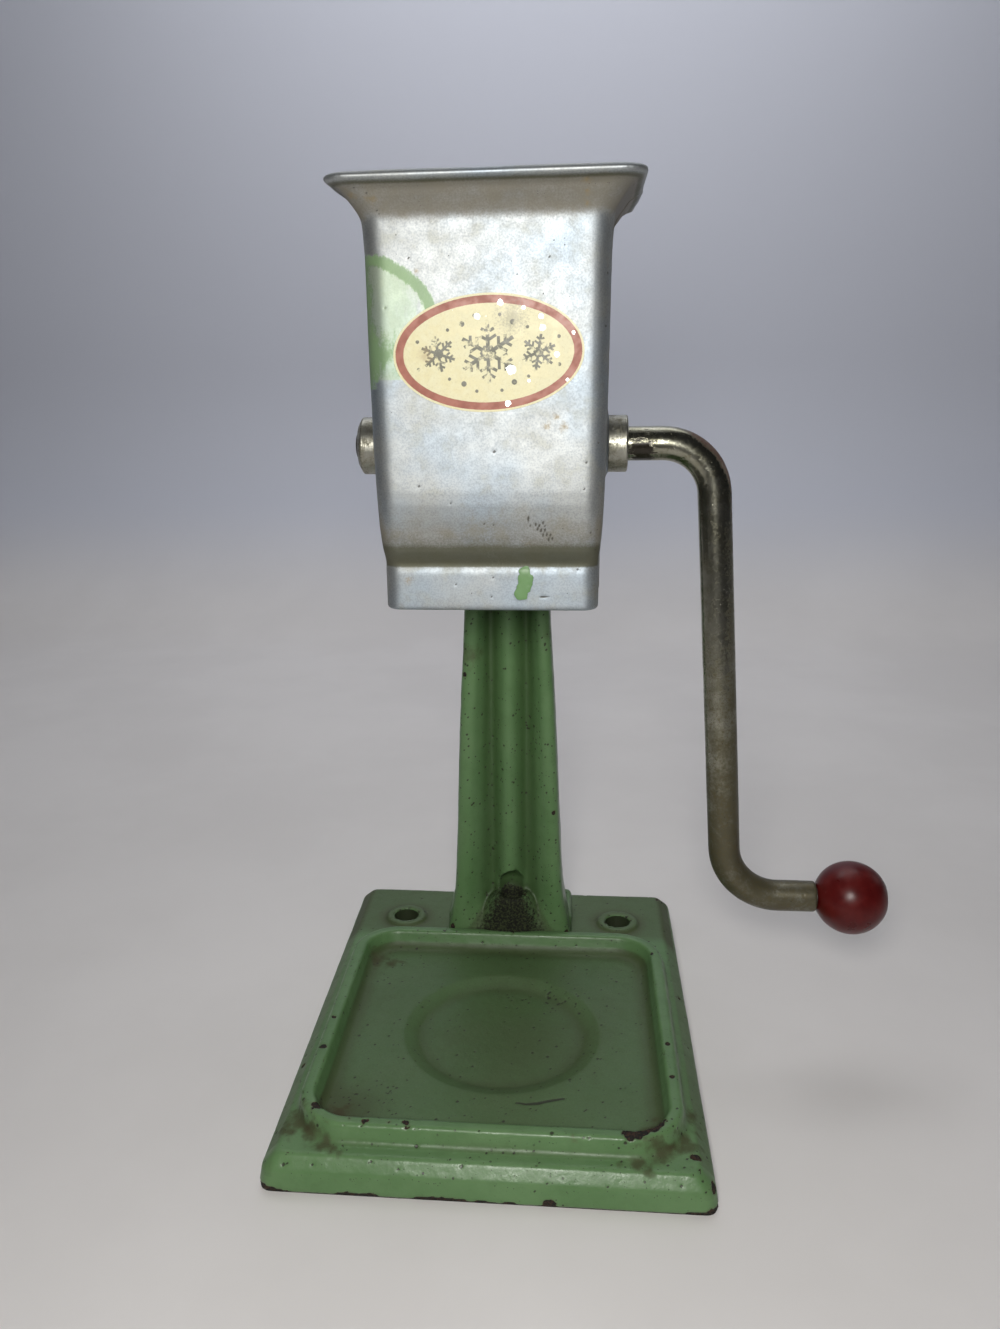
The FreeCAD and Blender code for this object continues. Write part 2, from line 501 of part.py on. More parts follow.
# ====================================================================== crank
def make_rod():
    """One bent bar: through the hopper, down the arm, out along the handle."""
    y = SHAFT_Y
    a = V(ROD_LEFT_X + 3.0, y, SHAFT_Z)
    p1 = V(ARM_TOP_X, y, SHAFT_Z)
    p2 = V(ARM_BOT_X, y, HANDLE_Z)
    b = V(ROD_END_X, y, HANDLE_Z)

    def bend(p, q, s, r):
        u = (p - q).normalize()
        w = (s - q).normalize()
        ang = math.acos(max(-1, min(1, u.dot(w))))
        t = r / math.tan(ang / 2)
        q0, q1 = q + u * t, q + w * t
        bis = (u + w).normalize()
        c = q + bis * (r / math.sin(ang / 2))
        m = c - bis * r
        return q0, m, q1

    t0, tm, t1 = bend(a, p1, p2, BEND_TOP_R)
    s0, sm, s1 = bend(p1, p2, b, BEND_BOT_R)
    path = Part.Wire([Part.LineSegment(a, t0).toShape(), Part.Arc(t0, tm, t1).toShape(), Part.LineSegment(t1, s0).toShape(),
                      Part.Arc(s0, sm, s1).toShape(), Part.LineSegment(s1, b).toShape()])
    prof = Part.Wire([Part.makeCircle(ROD_R, a, X)])
    rod = path.makePipeShell([prof], True, False)
    rod = rod if rod.ShapeType == "Solid" else Part.makeSolid(rod)
    # rounded left end
    end = cyl(ROD_R, 3.0, V(ROD_LEFT_X, y, SHAFT_Z), X)
    end = fillet(end, 2.6, lambda e: abs(e.CenterOfMass.x - ROD_LEFT_X) < 0.01 and e.Length > 10)
    rod = rod.fuse(end)
    # tapped end for the knob's screw
    rod = rod.cut(cyl(2.45, 16.0, V(ROD_END_X - 14.0, y, HANDLE_Z), X))
    rod = one(rod)
    rod = fillet(rod, 0.7, lambda e: abs(e.CenterOfMass.x - ROD_END_X) < 0.01 and e.Length > 30)
    for x in (-14.0, 14.0):
        rod = rod.cut(cyl(2.0, 30, V(x, y, SHAFT_Z - 15), Z))
    return one(rod)


def make_rotor():
    y = SHAFT_Y
    s = cyl(HUB_R, 2 * HUB_HX, V(-HUB_HX, y, SHAFT_Z), X)
    for i, x in enumerate(WHEEL_X):
        for j in range(4):
            a0 = 90 * j + 22.5 * i + 12

            def pt(r, a):
                a = math.radians(a0 + a)
                return V(x - WHEEL_T / 2, y + r * math.cos(a), SHAFT_Z + r * math.sin(a))

            w = Part.Wire([
                Part.LineSegment(pt(9.0, -32), pt(TOOTH_R, -3.5)).toShape(),
                Part.Arc(pt(TOOTH_R, -3.5), pt(TOOTH_R + 0.15, -1), pt(TOOTH_R, 1.5)).toShape(),
                Part.LineSegment(pt(TOOTH_R, 1.5), pt(9.0, 24)).toShape(),
                Part.LineSegment(pt(9.0, 24), pt(9.0, -32)).toShape(),
            ])
            s = s.fuse(Part.Face(w).extrude(V(WHEEL_T, 0, 0)))
    s = one(s)
    s = s.cut(cyl(ROD_R + 0.03, 80, V(-40, y, SHAFT_Z), X))
    for x in (-14.0, 14.0):
        s = s.cut(cyl(2.0, 40, V(x, y, SHAFT_Z - 20), Z))
    return one(s)


def make_comb():
    y1 = HOP_YR - WALL - 0.15
    plate = box(-29.6, 29.6, y1 - 3.4, y1, 219.0, 249.0)
    plate = fillet(plate, 3.0, lambda e: e.BoundBox.YLength > 3 and e.BoundBox.XLength < 0.1 and e.BoundBox.ZLength < 0.1)
    s = plate
    for x, t in COMB_X:
        w = poly([(x - t / 2, y1 - 0.5, 219.5), (x - t / 2, y1 - 0.5, 247.0), (x - t / 2, y1 - 3.4, 247.0), (x - t / 2, 14.5, 231.5),
                  (x - t / 2, 11.4, 227.0), (x - t / 2, 13.5, 222.5), (x - t / 2, y1 - 3.4, 219.5)])
        s = s.fuse(prism(w, V(t, 0, 0)))
    s = one(s)
    for sx in (-1, 1):
        s = s.cut(cyl(2.05, 12, V(sx * 27.3, y1 - 9.0, 240.0), Y))
    # bedded into the corners of the hopper
    return one(s.common(hop_solid(WALL + 0.15, 0.0, 3.0)))


def make_bush(sx):
    if sx > 0:
        s = cyl(COLLAR_R, COLLAR_X - PAD_X, V(PAD_X, SHAFT_Y, SHAFT_Z), X)
        s = fillet(s, 0.7, lambda e: abs(e.CenterOfMass.x - COLLAR_X) < 0.01 and e.Length > 30)
    else:
        s = cyl(BOSS_R, BOSS_X - PAD_X, V(-PAD_X, SHAFT_Y, SHAFT_Z), -X)
        s = s.fuse(Part.makeCone(BOSS_R, 7.2, BOSS_END - BOSS_X, V(-BOSS_X, SHAFT_Y, SHAFT_Z), -X))
        s = fillet(s, 0.9, lambda e: abs(e.CenterOfMass.x + BOSS_X) < 0.01 and e.Length > 30)
    s = s.fuse(cyl(BUSH_R, PAD_X - 31.0 + 0.5, V(sx * 31.0, SHAFT_Y, SHAFT_Z), V(sx, 0, 0)))
    s = s.cut(cyl(BUSH_BORE_R, 30, V(sx * 25.0, SHAFT_Y, SHAFT_Z), V(sx, 0, 0)))
    return one(s)


def make_knob():
    c = V(KNOB_X, SHAFT_Y, HANDLE_Z)
    s = Part.makeSphere(KNOB_R, c)
    s = s.common(box(KNOB_FLAT, KNOB_X + 12.4, -60, 60, 0, 120))
    s = s.cut(cyl(3.05, 40, V(KNOB_X - 20, SHAFT_Y, HANDLE_Z), X))
    s = s.cut(cyl(5.2, 10, V(KNOB_X + 9.0, SHAFT_Y, HANDLE_Z), X))
    return one(s)


def make_label():
    e = Part.Ellipse(V(0, 0, 0), LABEL_A, LABEL_B)
    f = Part.Face(Part.Wire([e.toShape()]))
    s = f.extrude(V(0, 0, LABEL_T))
    rot = FreeCAD.Rotation(X, 90).multiply(FreeCAD.Rotation(Z, LABEL_TILT))
    s.Placement = FreeCAD.Placement(V(LABEL_C[0], HOP_YF, LABEL_C[1]), rot)
    return s.Solids[0]


parts = {}
parts["base_casting"] = make_base()
parts["column_casting"] = make_column()
# the column's foot stands in a seat cut into the back of the tray's rim
parts["base_casting"] = one(parts["base_casting"].cut(parts["column_casting"]))
front, rear = make_hopper()
parts["hopper_front_shell"] = front
parts["hopper_rear_shell"] = rear
parts["crank_rod"] = make_rod()
parts["rotor_casting"] = make_rotor()
parts["breaker_comb"] = make_comb()
parts["bearing_bush_left"] = make_bush(-1)
parts["bearing_bush_right"] = make_bush(1)
parts["knob_ball"] = make_knob()
parts["oval_label"] = make_label()

yS, zS = SHAFT_Y, SHAFT_Z
# pins that lock the rotor to the rod
parts["rotor_pins"] = Part.makeCompound([cyl(1.98, 20.6, V(x, yS, zS - 10.3), Z) for x in (-14.0, 14.0)])
# washers that take the side play inside the hopper
parts["thrust_washers"] = Part.makeCompound([washer(8.4, 5.62, 1.6, V(sx * (HUB_HX + 0.25), yS, zS), V(sx, 0, 0)) for sx in (-1, 1)])
# the knob's screw and washer
parts["knob_washer"] = washer(4.9, 3.06, 0.8, V(KNOB_X + 9.3, yS, HANDLE_Z), X)
scr = cyl(3.0, KNOB_X + 10.1 - ROD_END_X, V(ROD_END_X + 0.0, yS, HANDLE_Z), X).fuse(cyl(2.4, 13.0, V(ROD_END_X - 12.5, yS, HANDLE_Z), X))
hd = cyl(4.5, 2.2, V(KNOB_X + 10.1, yS, HANDLE_Z), X)
hd = fillet(hd, 1.2, lambda e: abs(e.CenterOfMass.x - KNOB_X - 12.3) < 0.01 and e.Length > 10)
scr = scr.fuse(hd).cut(box(KNOB_X + 11.4, KNOB_X + 13, yS - 6, yS + 6, HANDLE_Z - 0.6, HANDLE_Z + 0.6))
parts["knob_screw"] = one(scr)

# front foot screw with its washer and nut in the base's counterbore
fx, fy = FOOT_BOLT_X, FOOT_BOLT_Y
parts["foot_screw"] = slotted(4.2, 4.0, 3.15, 21.4, V(fx, fy, 23.0), V(0, 0, -1), 0.8)
parts["foot_washer"] = washer(7.6, 3.4, 1.2, V(fx, fy, 4.75), Z)
nut = chamfered_hex(11.1, 3.9, V(fx, fy, 4.65), V(0, 0, -1))
parts["foot_nut"] = one(nut.cut(cyl(3.16, 12, V(fx, fy, -3), Z)))
bolts = []
wash = []
for sx in (-1, 1):
    p = V(sx * 15.0, 71.0, 4.8)
    bolts.append(one(chamfered_hex(11.1, 3.9, p, V(0, 0, -1)).fuse(cyl(3.1, 18.0, p, Z))))
    wash.append(washer(7.4, 3.3, 1.1, V(sx * 15.0, 71.0, 4.85), Z))
parts["foot_bolts"] = Part.makeCompound(bolts)
parts["foot_bolt_washers"] = Part.makeCompound(wash)

# bolts that hold the hopper on the column's head
bolts, wash = [], []
for sx in (-1, 1):
    for z in HEAD_BOLT_Z:
        y0 = COL_Y0 + 0.6
        p = V(sx * 15.5, y0 + 1.5, z)
        n = 1.5 + y0 - HEAD_Y0 + 4.6
        bolts.append(one(chamfered_hex(11.1, 4.2, p, Y, 30.0).fuse(cyl(3.1, n, p, V(0, -1, 0)))))
        wash.append(washer(5.8, 3.3, 1.35, V(sx * 15.5, y0 + 0.05, z), Y).cut(
            box(sx * 15.5 - 0.5, sx * 15.5 + 0.5, y0 - 1, y0 + 3, z + 1, z + 9)))
parts["head_bolts"] = Part.makeCompound(bolts)
parts["head_lock_washers"] = Part.makeCompound([one(w) for w in wash])

# screws through the back wall into the comb
parts["comb_screws"] = Part.makeCompound([slotted(4.2, 2.8, 2.0, 6.9, V(sx * 27.3, HOP_YR + 0.25, 240.0), V(0, -1, 0), 1.6) for sx in (-1, 1)])
# countersunk screws that join the two shells
ss = []
for sx in (-1, 1):
    for z in (187.0, 262.0):
        hw = hop(z)[0]
        ss.append(countersunk(4.2, 2.1, 2.1, 6.8, V(sx * (hw + 0.5), SHAFT_Y - 6.0, z), V(-sx, 0, 0)))
parts["shell_screws"] = Part.makeCompound(ss)

os.makedirs("parts", exist_ok=True)
for name, shape in parts.items():
    ok = shape.isValid()
    b = shape.BoundBox
    print("%-20s valid %s solids %d faces %d vol %.1f box %.1f %.1f %.1f  %.1f %.1f %.1f" % (
        name, ok, len(shape.Solids), len(shape.Faces), shape.Volume, b.XMin, b.YMin, b.ZMin, b.XMax, b.YMax, b.ZMax))
    shape.exportStep("parts/%s.step" % name)
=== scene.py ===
import math
import bpy
import bmesh
import numpy as np
from mathutils import Vector, Matrix


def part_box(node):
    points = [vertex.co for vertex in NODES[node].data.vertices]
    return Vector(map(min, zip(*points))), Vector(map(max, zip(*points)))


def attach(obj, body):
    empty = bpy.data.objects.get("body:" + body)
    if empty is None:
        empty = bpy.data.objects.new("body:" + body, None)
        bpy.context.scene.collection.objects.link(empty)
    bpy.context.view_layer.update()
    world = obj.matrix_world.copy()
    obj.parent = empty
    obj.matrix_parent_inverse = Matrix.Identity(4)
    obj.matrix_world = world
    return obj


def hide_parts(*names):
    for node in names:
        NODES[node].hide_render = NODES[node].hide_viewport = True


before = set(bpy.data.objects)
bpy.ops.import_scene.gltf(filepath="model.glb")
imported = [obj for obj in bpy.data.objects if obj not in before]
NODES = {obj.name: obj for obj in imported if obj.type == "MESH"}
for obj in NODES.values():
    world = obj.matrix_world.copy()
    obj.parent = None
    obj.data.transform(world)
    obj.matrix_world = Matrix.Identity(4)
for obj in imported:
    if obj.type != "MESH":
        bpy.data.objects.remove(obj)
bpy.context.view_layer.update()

scene = bpy.context.scene


# ------------------------------------------------------------------ numbers
def _hash(ix, iy, iz, seed):
    h = (ix * 374761393 + iy * 668265263 + iz * 1274126177 + seed * 97471139) & 0xFFFFFFFF
    h = ((h ^ (h >> 13)) * 1274126177) & 0xFFFFFFFF
    h = ((h ^ (h >> 15)) * 668265263) & 0xFFFFFFFF
    return ((h ^ (h >> 16)) & 0xFFFFFFFF) / 4294967295.0


def vnoise(p, scale, seed=0):
    """Smooth value noise, 0 to 1, at points p in mm; scale is the size of a feature in mm."""
    q = p / scale
    i = np.floor(q).astype(np.int64)
    f = q - i
    u = f * f * (3 - 2 * f)
    out = np.zeros(len(p))
    for a in (0, 1):
        for b in (0, 1):
            for c in (0, 1):
                w = (u[:, 0] if a else 1 - u[:, 0]) * (u[:, 1] if b else 1 - u[:, 1]) * (u[:, 2] if c else 1 - u[:, 2])
                out += w * _hash(i[:, 0] + a, i[:, 1] + b, i[:, 2] + c, seed)
    return out


def fbm(p, scale, octaves=3, seed=0):
    s, t, w = 0.0, 0.0, 1.0
    for k in range(octaves):
        s = s + w * vnoise(p, scale / 2 ** k, seed + 17 * k)
        t += w
        w *= 0.5
    return s / t


def sstep(x, a, b):
    t = np.clip((x - a) / (b - a), 0, 1)
    return t * t * (3 - 2 * t)


class Skin:
    """A remeshed copy of a CAD solid, in mm, with its points, normals and edges as arrays."""

    def __init__(self, node, name, voxel, soften):
        me = NODES[node].data.copy()
        ob = bpy.data.objects.new(name, me)
        scene.collection.objects.link(ob)
        bm = bmesh.new()
        bm.from_mesh(me)
        bmesh.ops.remove_doubles(bm, verts=bm.verts, dist=2e-6)
        bm.to_mesh(me)
        bm.free()
        mod = ob.modifiers.new("skin", "REMESH")
        mod.mode = "VOXEL"
        mod.voxel_size = voxel / 1000
        mod.adaptivity = 0.0
        dg = bpy.context.evaluated_depsgraph_get()
        new = bpy.data.meshes.new_from_object(ob.evaluated_get(dg))
        ob.modifiers.clear()
        ob.data = new
        new.materials.clear()
        self.ob, self.me, self.node = ob, new, node
        self.n = len(new.vertices)
        co = np.zeros(self.n * 3, np.float32)
        new.vertices.foreach_get("co", co)
        self.co = co.reshape(-1, 3).astype(float) * 1000
        e = np.zeros(len(new.edges) * 2, np.int32)
        new.edges.foreach_get("vertices", e)
        self.e = e.reshape(-1, 2).astype(np.int64)
        self.deg = np.bincount(self.e.ravel(), minlength=self.n).astype(float)
        lo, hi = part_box(node)
        self.lo, self.hi = np.array(lo) * 1000, np.array(hi) * 1000
        self.relax(soften)
        self.refresh()

    def mean(self, v):
        """The mean of each point's neighbours."""
        a, b = self.e[:, 0], self.e[:, 1]
        if v.ndim == 1:
            s = np.bincount(a, v[b], self.n) + np.bincount(b, v[a], self.n)
            return s / self.deg
        return np.stack([self.mean(v[:, k]) for k in range(v.shape[1])], 1)

    def relax(self, times, k=0.5):
        for _ in range(times):
            self.co += k * (self.mean(self.co) - self.co)

    def refresh(self):
        self.me.vertices.foreach_set("co", (self.co / 1000).astype(np.float32).ravel())
        self.me.update()
        nn = np.zeros(self.n * 3, np.float32)
        self.me.vertices.foreach_get("normal", nn)
        self.no = nn.reshape(-1, 3).astype(float)

    def blur(self, v, times):
        for _ in range(times):
            v = 0.5 * v + 0.5 * self.mean(v)
        return v

    def curvature(self, times):
        """Positive where the surface is hollow, negative where it stands out, in mm."""
        c = self.blur(((self.mean(self.co) - self.co) * self.no).sum(1), times)
        return c

    def push(self, d):
        self.co += self.no * d[:, None]

    def put(self, name, v):
        a = self.me.attributes.get(name) or self.me.attributes.new(name, "FLOAT", "POINT")
        a.data.foreach_set("value", np.ascontiguousarray(v, dtype=np.float32))

    def done(self, body, mat, keep_in=True):
        if keep_in:
            self.co = np.minimum(np.maximum(self.co, self.lo), self.hi)
        self.refresh()
        self.me.polygons.foreach_set("use_smooth", np.ones(len(self.me.polygons), bool))
        self.me.materials.clear()
        self.me.materials.append(mat)
        self.me.update()
        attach(self.ob, body)
        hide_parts(self.node)
        return self.ob


def spots(p, places, warp=0.35, grain=1.2, seed=5):
    """1 at the middle of each (x, y, z, radius) spot, 0 at its ragged border, negative outside."""
    w = (fbm(p, grain, 2, seed) - 0.5) * 2 * warp
    best = np.full(len(p), -9.0)
    for x, y, z, r in places:
        d = np.sqrt(((p - np.array([x, y, z])) ** 2).sum(1)) / r
        best = np.maximum(best, 1 - d + w * np.minimum(1.5, d + 0.3))
    return best


def scatter(skin, count, r0, r1, seed, where=None):
    """Field of small round pits at random points of the skin, 1 in each middle, 0 at its border."""
    rng = np.random.default_rng(seed)
    idx = np.arange(skin.n) if where is None else np.nonzero(where)[0]
    f = np.zeros(skin.n)
    if len(idx) == 0:
        return f
    pick = rng.choice(idx, min(count, len(idx)), replace=False)
    from mathutils.kdtree import KDTree
    tree = KDTree(skin.n)
    for i, c in enumerate(skin.co):
        tree.insert(c, i)
    tree.balance()
    for i in pick:
        r = r0 + (r1 - r0) * rng.random() ** 2
        for _, j, d in tree.find_range(skin.co[i], r):
            f[j] = max(f[j], 1 - d / r)
    return f


# ---------------------------------------------------------------- node trees
class Look:
    """A material built from procedural nodes on object coordinates (metres)."""

    def __init__(self, name):
        self.m = bpy.data.materials.new(name)
        self.m.use_nodes = True
        self.t = self.m.node_tree
        self.t.nodes.clear()
        out = self.t.nodes.new("ShaderNodeOutputMaterial")
        self.p = self.t.nodes.new("ShaderNodeBsdfPrincipled")
        self.t.links.new(self.p.outputs["BSDF"], out.inputs["Surface"])
        self.obj = self.t.nodes.new("ShaderNodeTexCoord").outputs["Object"]
        sep = self.t.nodes.new("ShaderNodeSeparateXYZ")
        self.t.links.new(self.obj, sep.inputs[0])
        self.x, self.y, self.z = sep.outputs[0], sep.outputs[1], sep.outputs[2]

    def put(self, a, sock):
        if isinstance(a, (int, float)):
            sock.default_value = a
        elif isinstance(a, (tuple, list)):
            sock.default_value = tuple(a) + (1.0,) if len(a) == 3 and sock.type == "RGBA" else tuple(a)
        else:
            self.t.links.new(a, sock)

    def f(self, op, a, b=0.0, c=0.0, clamp=False):
        n = self.t.nodes.new("ShaderNodeMath")
        n.operation = op
        n.use_clamp = clamp
        self.put(a, n.inputs[0])
        self.put(b, n.inputs[1])
        if op in ("MULTIPLY_ADD", "SMOOTH_MIN", "SMOOTH_MAX", "COMPARE"):
            self.put(c, n.inputs[2])
        return n.outputs[0]

    def add(self, a, b):
        return self.f("ADD", a, b)

    def sub(self, a, b):
        return self.f("SUBTRACT", a, b)

    def mul(self, a, b):
        return self.f("MULTIPLY", a, b)

    def mx(self, a, b):
        return self.f("MAXIMUM", a, b)

    def mn(self, a, b):
        return self.f("MINIMUM", a, b)

    def scaled(self, k):
        n = self.t.nodes.new("ShaderNodeVectorMath")
        n.operation = "MULTIPLY"
        self.t.links.new(self.obj, n.inputs[0])
        n.inputs[1].default_value = k
        return n.outputs[0]

    def noise(self, size, detail=2.0, rough=0.5, vec=None, warp=0.0):
        """size: the feature's size in mm."""
        n = self.t.nodes.new("ShaderNodeTexNoise")
        self.t.links.new(vec or self.obj, n.inputs["Vector"])
        n.inputs["Scale"].default_value = 1000.0 / size
        n.inputs["Detail"].default_value = detail
        n.inputs["Roughness"].default_value = rough
        n.inputs["Distortion"].default_value = warp
        return n.outputs[0]

    def cells(self, size, rand=1.0, out="Distance", feature="F1", vec=None):
        n = self.t.nodes.new("ShaderNodeTexVoronoi")
        n.feature = feature
        self.t.links.new(vec or self.obj, n.inputs["Vector"])
        n.inputs["Scale"].default_value = 1000.0 / size
        n.inputs["Randomness"].default_value = rand
        return n.outputs[out]

    def soft(self, x, a, b, lo=0.0, hi=1.0):
        n = self.t.nodes.new("ShaderNodeMapRange")
        n.interpolation_type = "SMOOTHSTEP"
        self.put(x, n.inputs["Value"])
        n.inputs["From Min"].default_value = a
        n.inputs["From Max"].default_value = b
        n.inputs["To Min"].default_value = lo
        n.inputs["To Max"].default_value = hi
        return n.outputs["Result"]

    def mix(self, fac, a, b):
        n = self.t.nodes.new("ShaderNodeMix")
        n.data_type = "RGBA"
        n.clamp_factor = True
        self.put(fac, n.inputs[0])
        self.put(a, n.inputs[6])
        self.put(b, n.inputs[7])
        return n.outputs[2]

    def lerp(self, fac, a, b):
        n = self.t.nodes.new("ShaderNodeMix")
        n.data_type = "FLOAT"
        n.clamp_factor = True
        self.put(fac, n.inputs[0])
        self.put(a, n.inputs[2])
        self.put(b, n.inputs[3])
        return n.outputs[0]

    def attr(self, name):
        n = self.t.nodes.new("ShaderNodeAttribute")
        n.attribute_type = "GEOMETRY"
        n.attribute_name = name
        return n.outputs["Fac"]

    def up(self):
        """How far the surface looks up, -1 to 1."""
        n = self.t.nodes.new("ShaderNodeTexCoord")
        s = self.t.nodes.new("ShaderNodeSeparateXYZ")
        self.t.links.new(n.outputs["Normal"], s.inputs[0])
        return s.outputs[2]

    def point(self, x, y, z):
        """Distance to a point, in mm."""
        n = self.t.nodes.new("ShaderNodeVectorMath")
        n.operation = "DISTANCE"
        self.t.links.new(self.obj, n.inputs[0])
        n.inputs[1].default_value = (x / 1000, y / 1000, z / 1000)
        return self.mul(n.outputs["Value"], 1000.0)

    def bump(self, height, mm, strength=1.0, normal=None):
        n = self.t.nodes.new("ShaderNodeBump")
        n.inputs["Strength"].default_value = strength
        n.inputs["Distance"].default_value = mm / 1000
        self.put(height, n.inputs["Height"])
        if normal is not None:
            self.t.links.new(normal, n.inputs["Normal"])
        return n.outputs[0]

    def end(self, color, rough, normal=None, metal=0.0, **fixed):
        self.put(color, self.p.inputs["Base Color"])
        self.put(rough, self.p.inputs["Roughness"])
        self.put(metal, self.p.inputs["Metallic"])
        if normal is not None:
            self.t.links.new(normal, self.p.inputs["Normal"])
        for k, v in fixed.items():
            self.p.inputs[k.replace("_", " ")].default_value = v
        return self.m


GREEN = (0.100, 0.196, 0.076)
GREEN_LIGHT = (0.120, 0.222, 0.092)
GREEN_DARK = (0.068, 0.128, 0.048)
OLIVE = (0.052, 0.062, 0.024)
SOOT = (0.012, 0.011, 0.009)
RUST = (0.052, 0.038, 0.018)


def look_enamel():
    g = Look("enamel_green_worn")
    big, mid, fine = g.noise(24, 4, 0.6), g.noise(5.5, 4, 0.6), g.noise(0.9, 3, 0.6)
    col = g.mix(g.soft(big, 0.36, 0.64), GREEN, GREEN_LIGHT)
    col = g.mix(g.mul(g.soft(mid, 0.48, 0.72), 0.22), col, GREEN_DARK)
    col = g.mix(g.mul(g.soft(fine, 0.50, 0.72), 0.18), col, GREEN_LIGHT)
    # brown film of dirt where fingers and water leave it, with painted shade: darker in hollows, under the hopper and
    # on the base's side faces
    dirt_and_shade_film = g.add(g.attr("grime_and_shade"), g.add(g.mul(g.sub(big, 0.5), 0.35), g.mul(g.sub(fine, 0.5), 0.30)))
    dirt_and_shade_film = g.mul(g.soft(dirt_and_shade_film, 0.05, 1.05), 0.86)
    col = g.mix(dirt_and_shade_film, col, OLIVE)
    # painted shade: darker green down in the grooves, in hollows, under the hopper and inside the tray
    col = g.mix(g.mul(g.soft(g.attr("hollow_shade"), 0.0, 1.0), 0.75), col, (0.036, 0.074, 0.022))
    # blooms of rust-brown
    st = g.add(g.attr("stain"), g.mul(g.sub(g.noise(2.4, 4, 0.65), 0.5), 0.9))
    stain = g.soft(st, 0.05, 0.75)
    col = g.mix(g.mul(stain, 0.72), col, RUST)
    # paler green along the convex crests
    rub = g.mul(g.soft(g.add(g.attr("edge"), g.mul(g.sub(fine, 0.5), 0.5)), 0.35, 0.9), 0.42)
    col = g.mix(rub, col, (0.19, 0.29, 0.15))
    # fine dark specks over everything
    keep = g.soft(g.noise(9, 2, 0.6), 0.42, 0.62)
    c1 = g.cells(1.9)
    r1 = g.cells(1.9, out="Color")
    sep = g.t.nodes.new("ShaderNodeSeparateColor")
    g.t.links.new(r1, sep.inputs[0])
    size = g.soft(sep.outputs[0], 0.50, 1.0, -0.02, 0.24)
    speck = g.mul(g.soft(g.sub(g.add(size, g.mul(g.sub(fine, 0.5), 0.10)), c1), 0.0, 0.05), keep)
    c2 = g.cells(0.8)
    r2 = g.cells(0.8, out="Color")
    sep2 = g.t.nodes.new("ShaderNodeSeparateColor")
    g.t.links.new(r2, sep2.inputs[0])
    size2 = g.soft(sep2.outputs[1], 0.72, 1.0, -0.02, 0.30)
    speck2 = g.mul(g.soft(g.sub(size2, c2), 0.0, 0.08), 0.75)
    pit = g.soft(g.add(g.attr("pit"), g.mul(g.sub(fine, 0.5), 0.35)), 0.30, 0.55)
    dark = g.mx(g.mx(speck, speck2), pit)
    col = g.mix(g.mul(dark, 0.86), col, (0.024, 0.021, 0.014))
    # chips down to black iron, with a rusty border
    ch = g.add(g.attr("chip"), g.mul(g.sub(g.noise(0.7, 3, 0.6), 0.5), 0.30))
    halo = g.soft(ch, -0.30, 0.02)
    chip = g.soft(ch, 0.0, 0.07)
    col = g.mix(g.mul(halo, 0.35), col, (0.105, 0.090, 0.050))
    col = g.mix(chip, col, g.mix(g.soft(fine, 0.45, 0.62), SOOT, (0.050, 0.026, 0.016)))
    # rough dirt caked at the foot
    soil = g.soft(g.add(g.attr("soil"), g.mul(g.sub(g.noise(1.3, 4, 0.7), 0.5), 1.1)), 0.25, 0.60)
    col = g.mix(soil, col, g.mix(g.soft(g.noise(0.8, 3, 0.7), 0.44, 0.62), (0.008, 0.008, 0.005), (0.040, 0.052, 0.020)))
    rough = g.lerp(g.soft(mid, 0.3, 0.7), 0.30, 0.42)
    rough = g.lerp(dirt_and_shade_film, rough, 0.60)
    rough = g.lerp(g.mx(g.mx(chip, soil), g.mul(stain, 0.8)), rough, 0.82)
    h = g.add(g.mul(g.noise(2.6, 3, 0.55), 0.55), g.mul(g.noise(0.9, 2, 0.5), 0.22))
    h = g.sub(h, g.mul(dark, 0.35))
    h = g.sub(h, g.mul(chip, 0.8))
    h = g.add(h, g.mul(g.mul(soil, g.noise(0.7, 4, 0.7)), 1.3))
    return g.end(col, rough, g.bump(h, 0.16), 0.0, Specular_IOR_Level=0.36, IOR=1.5)


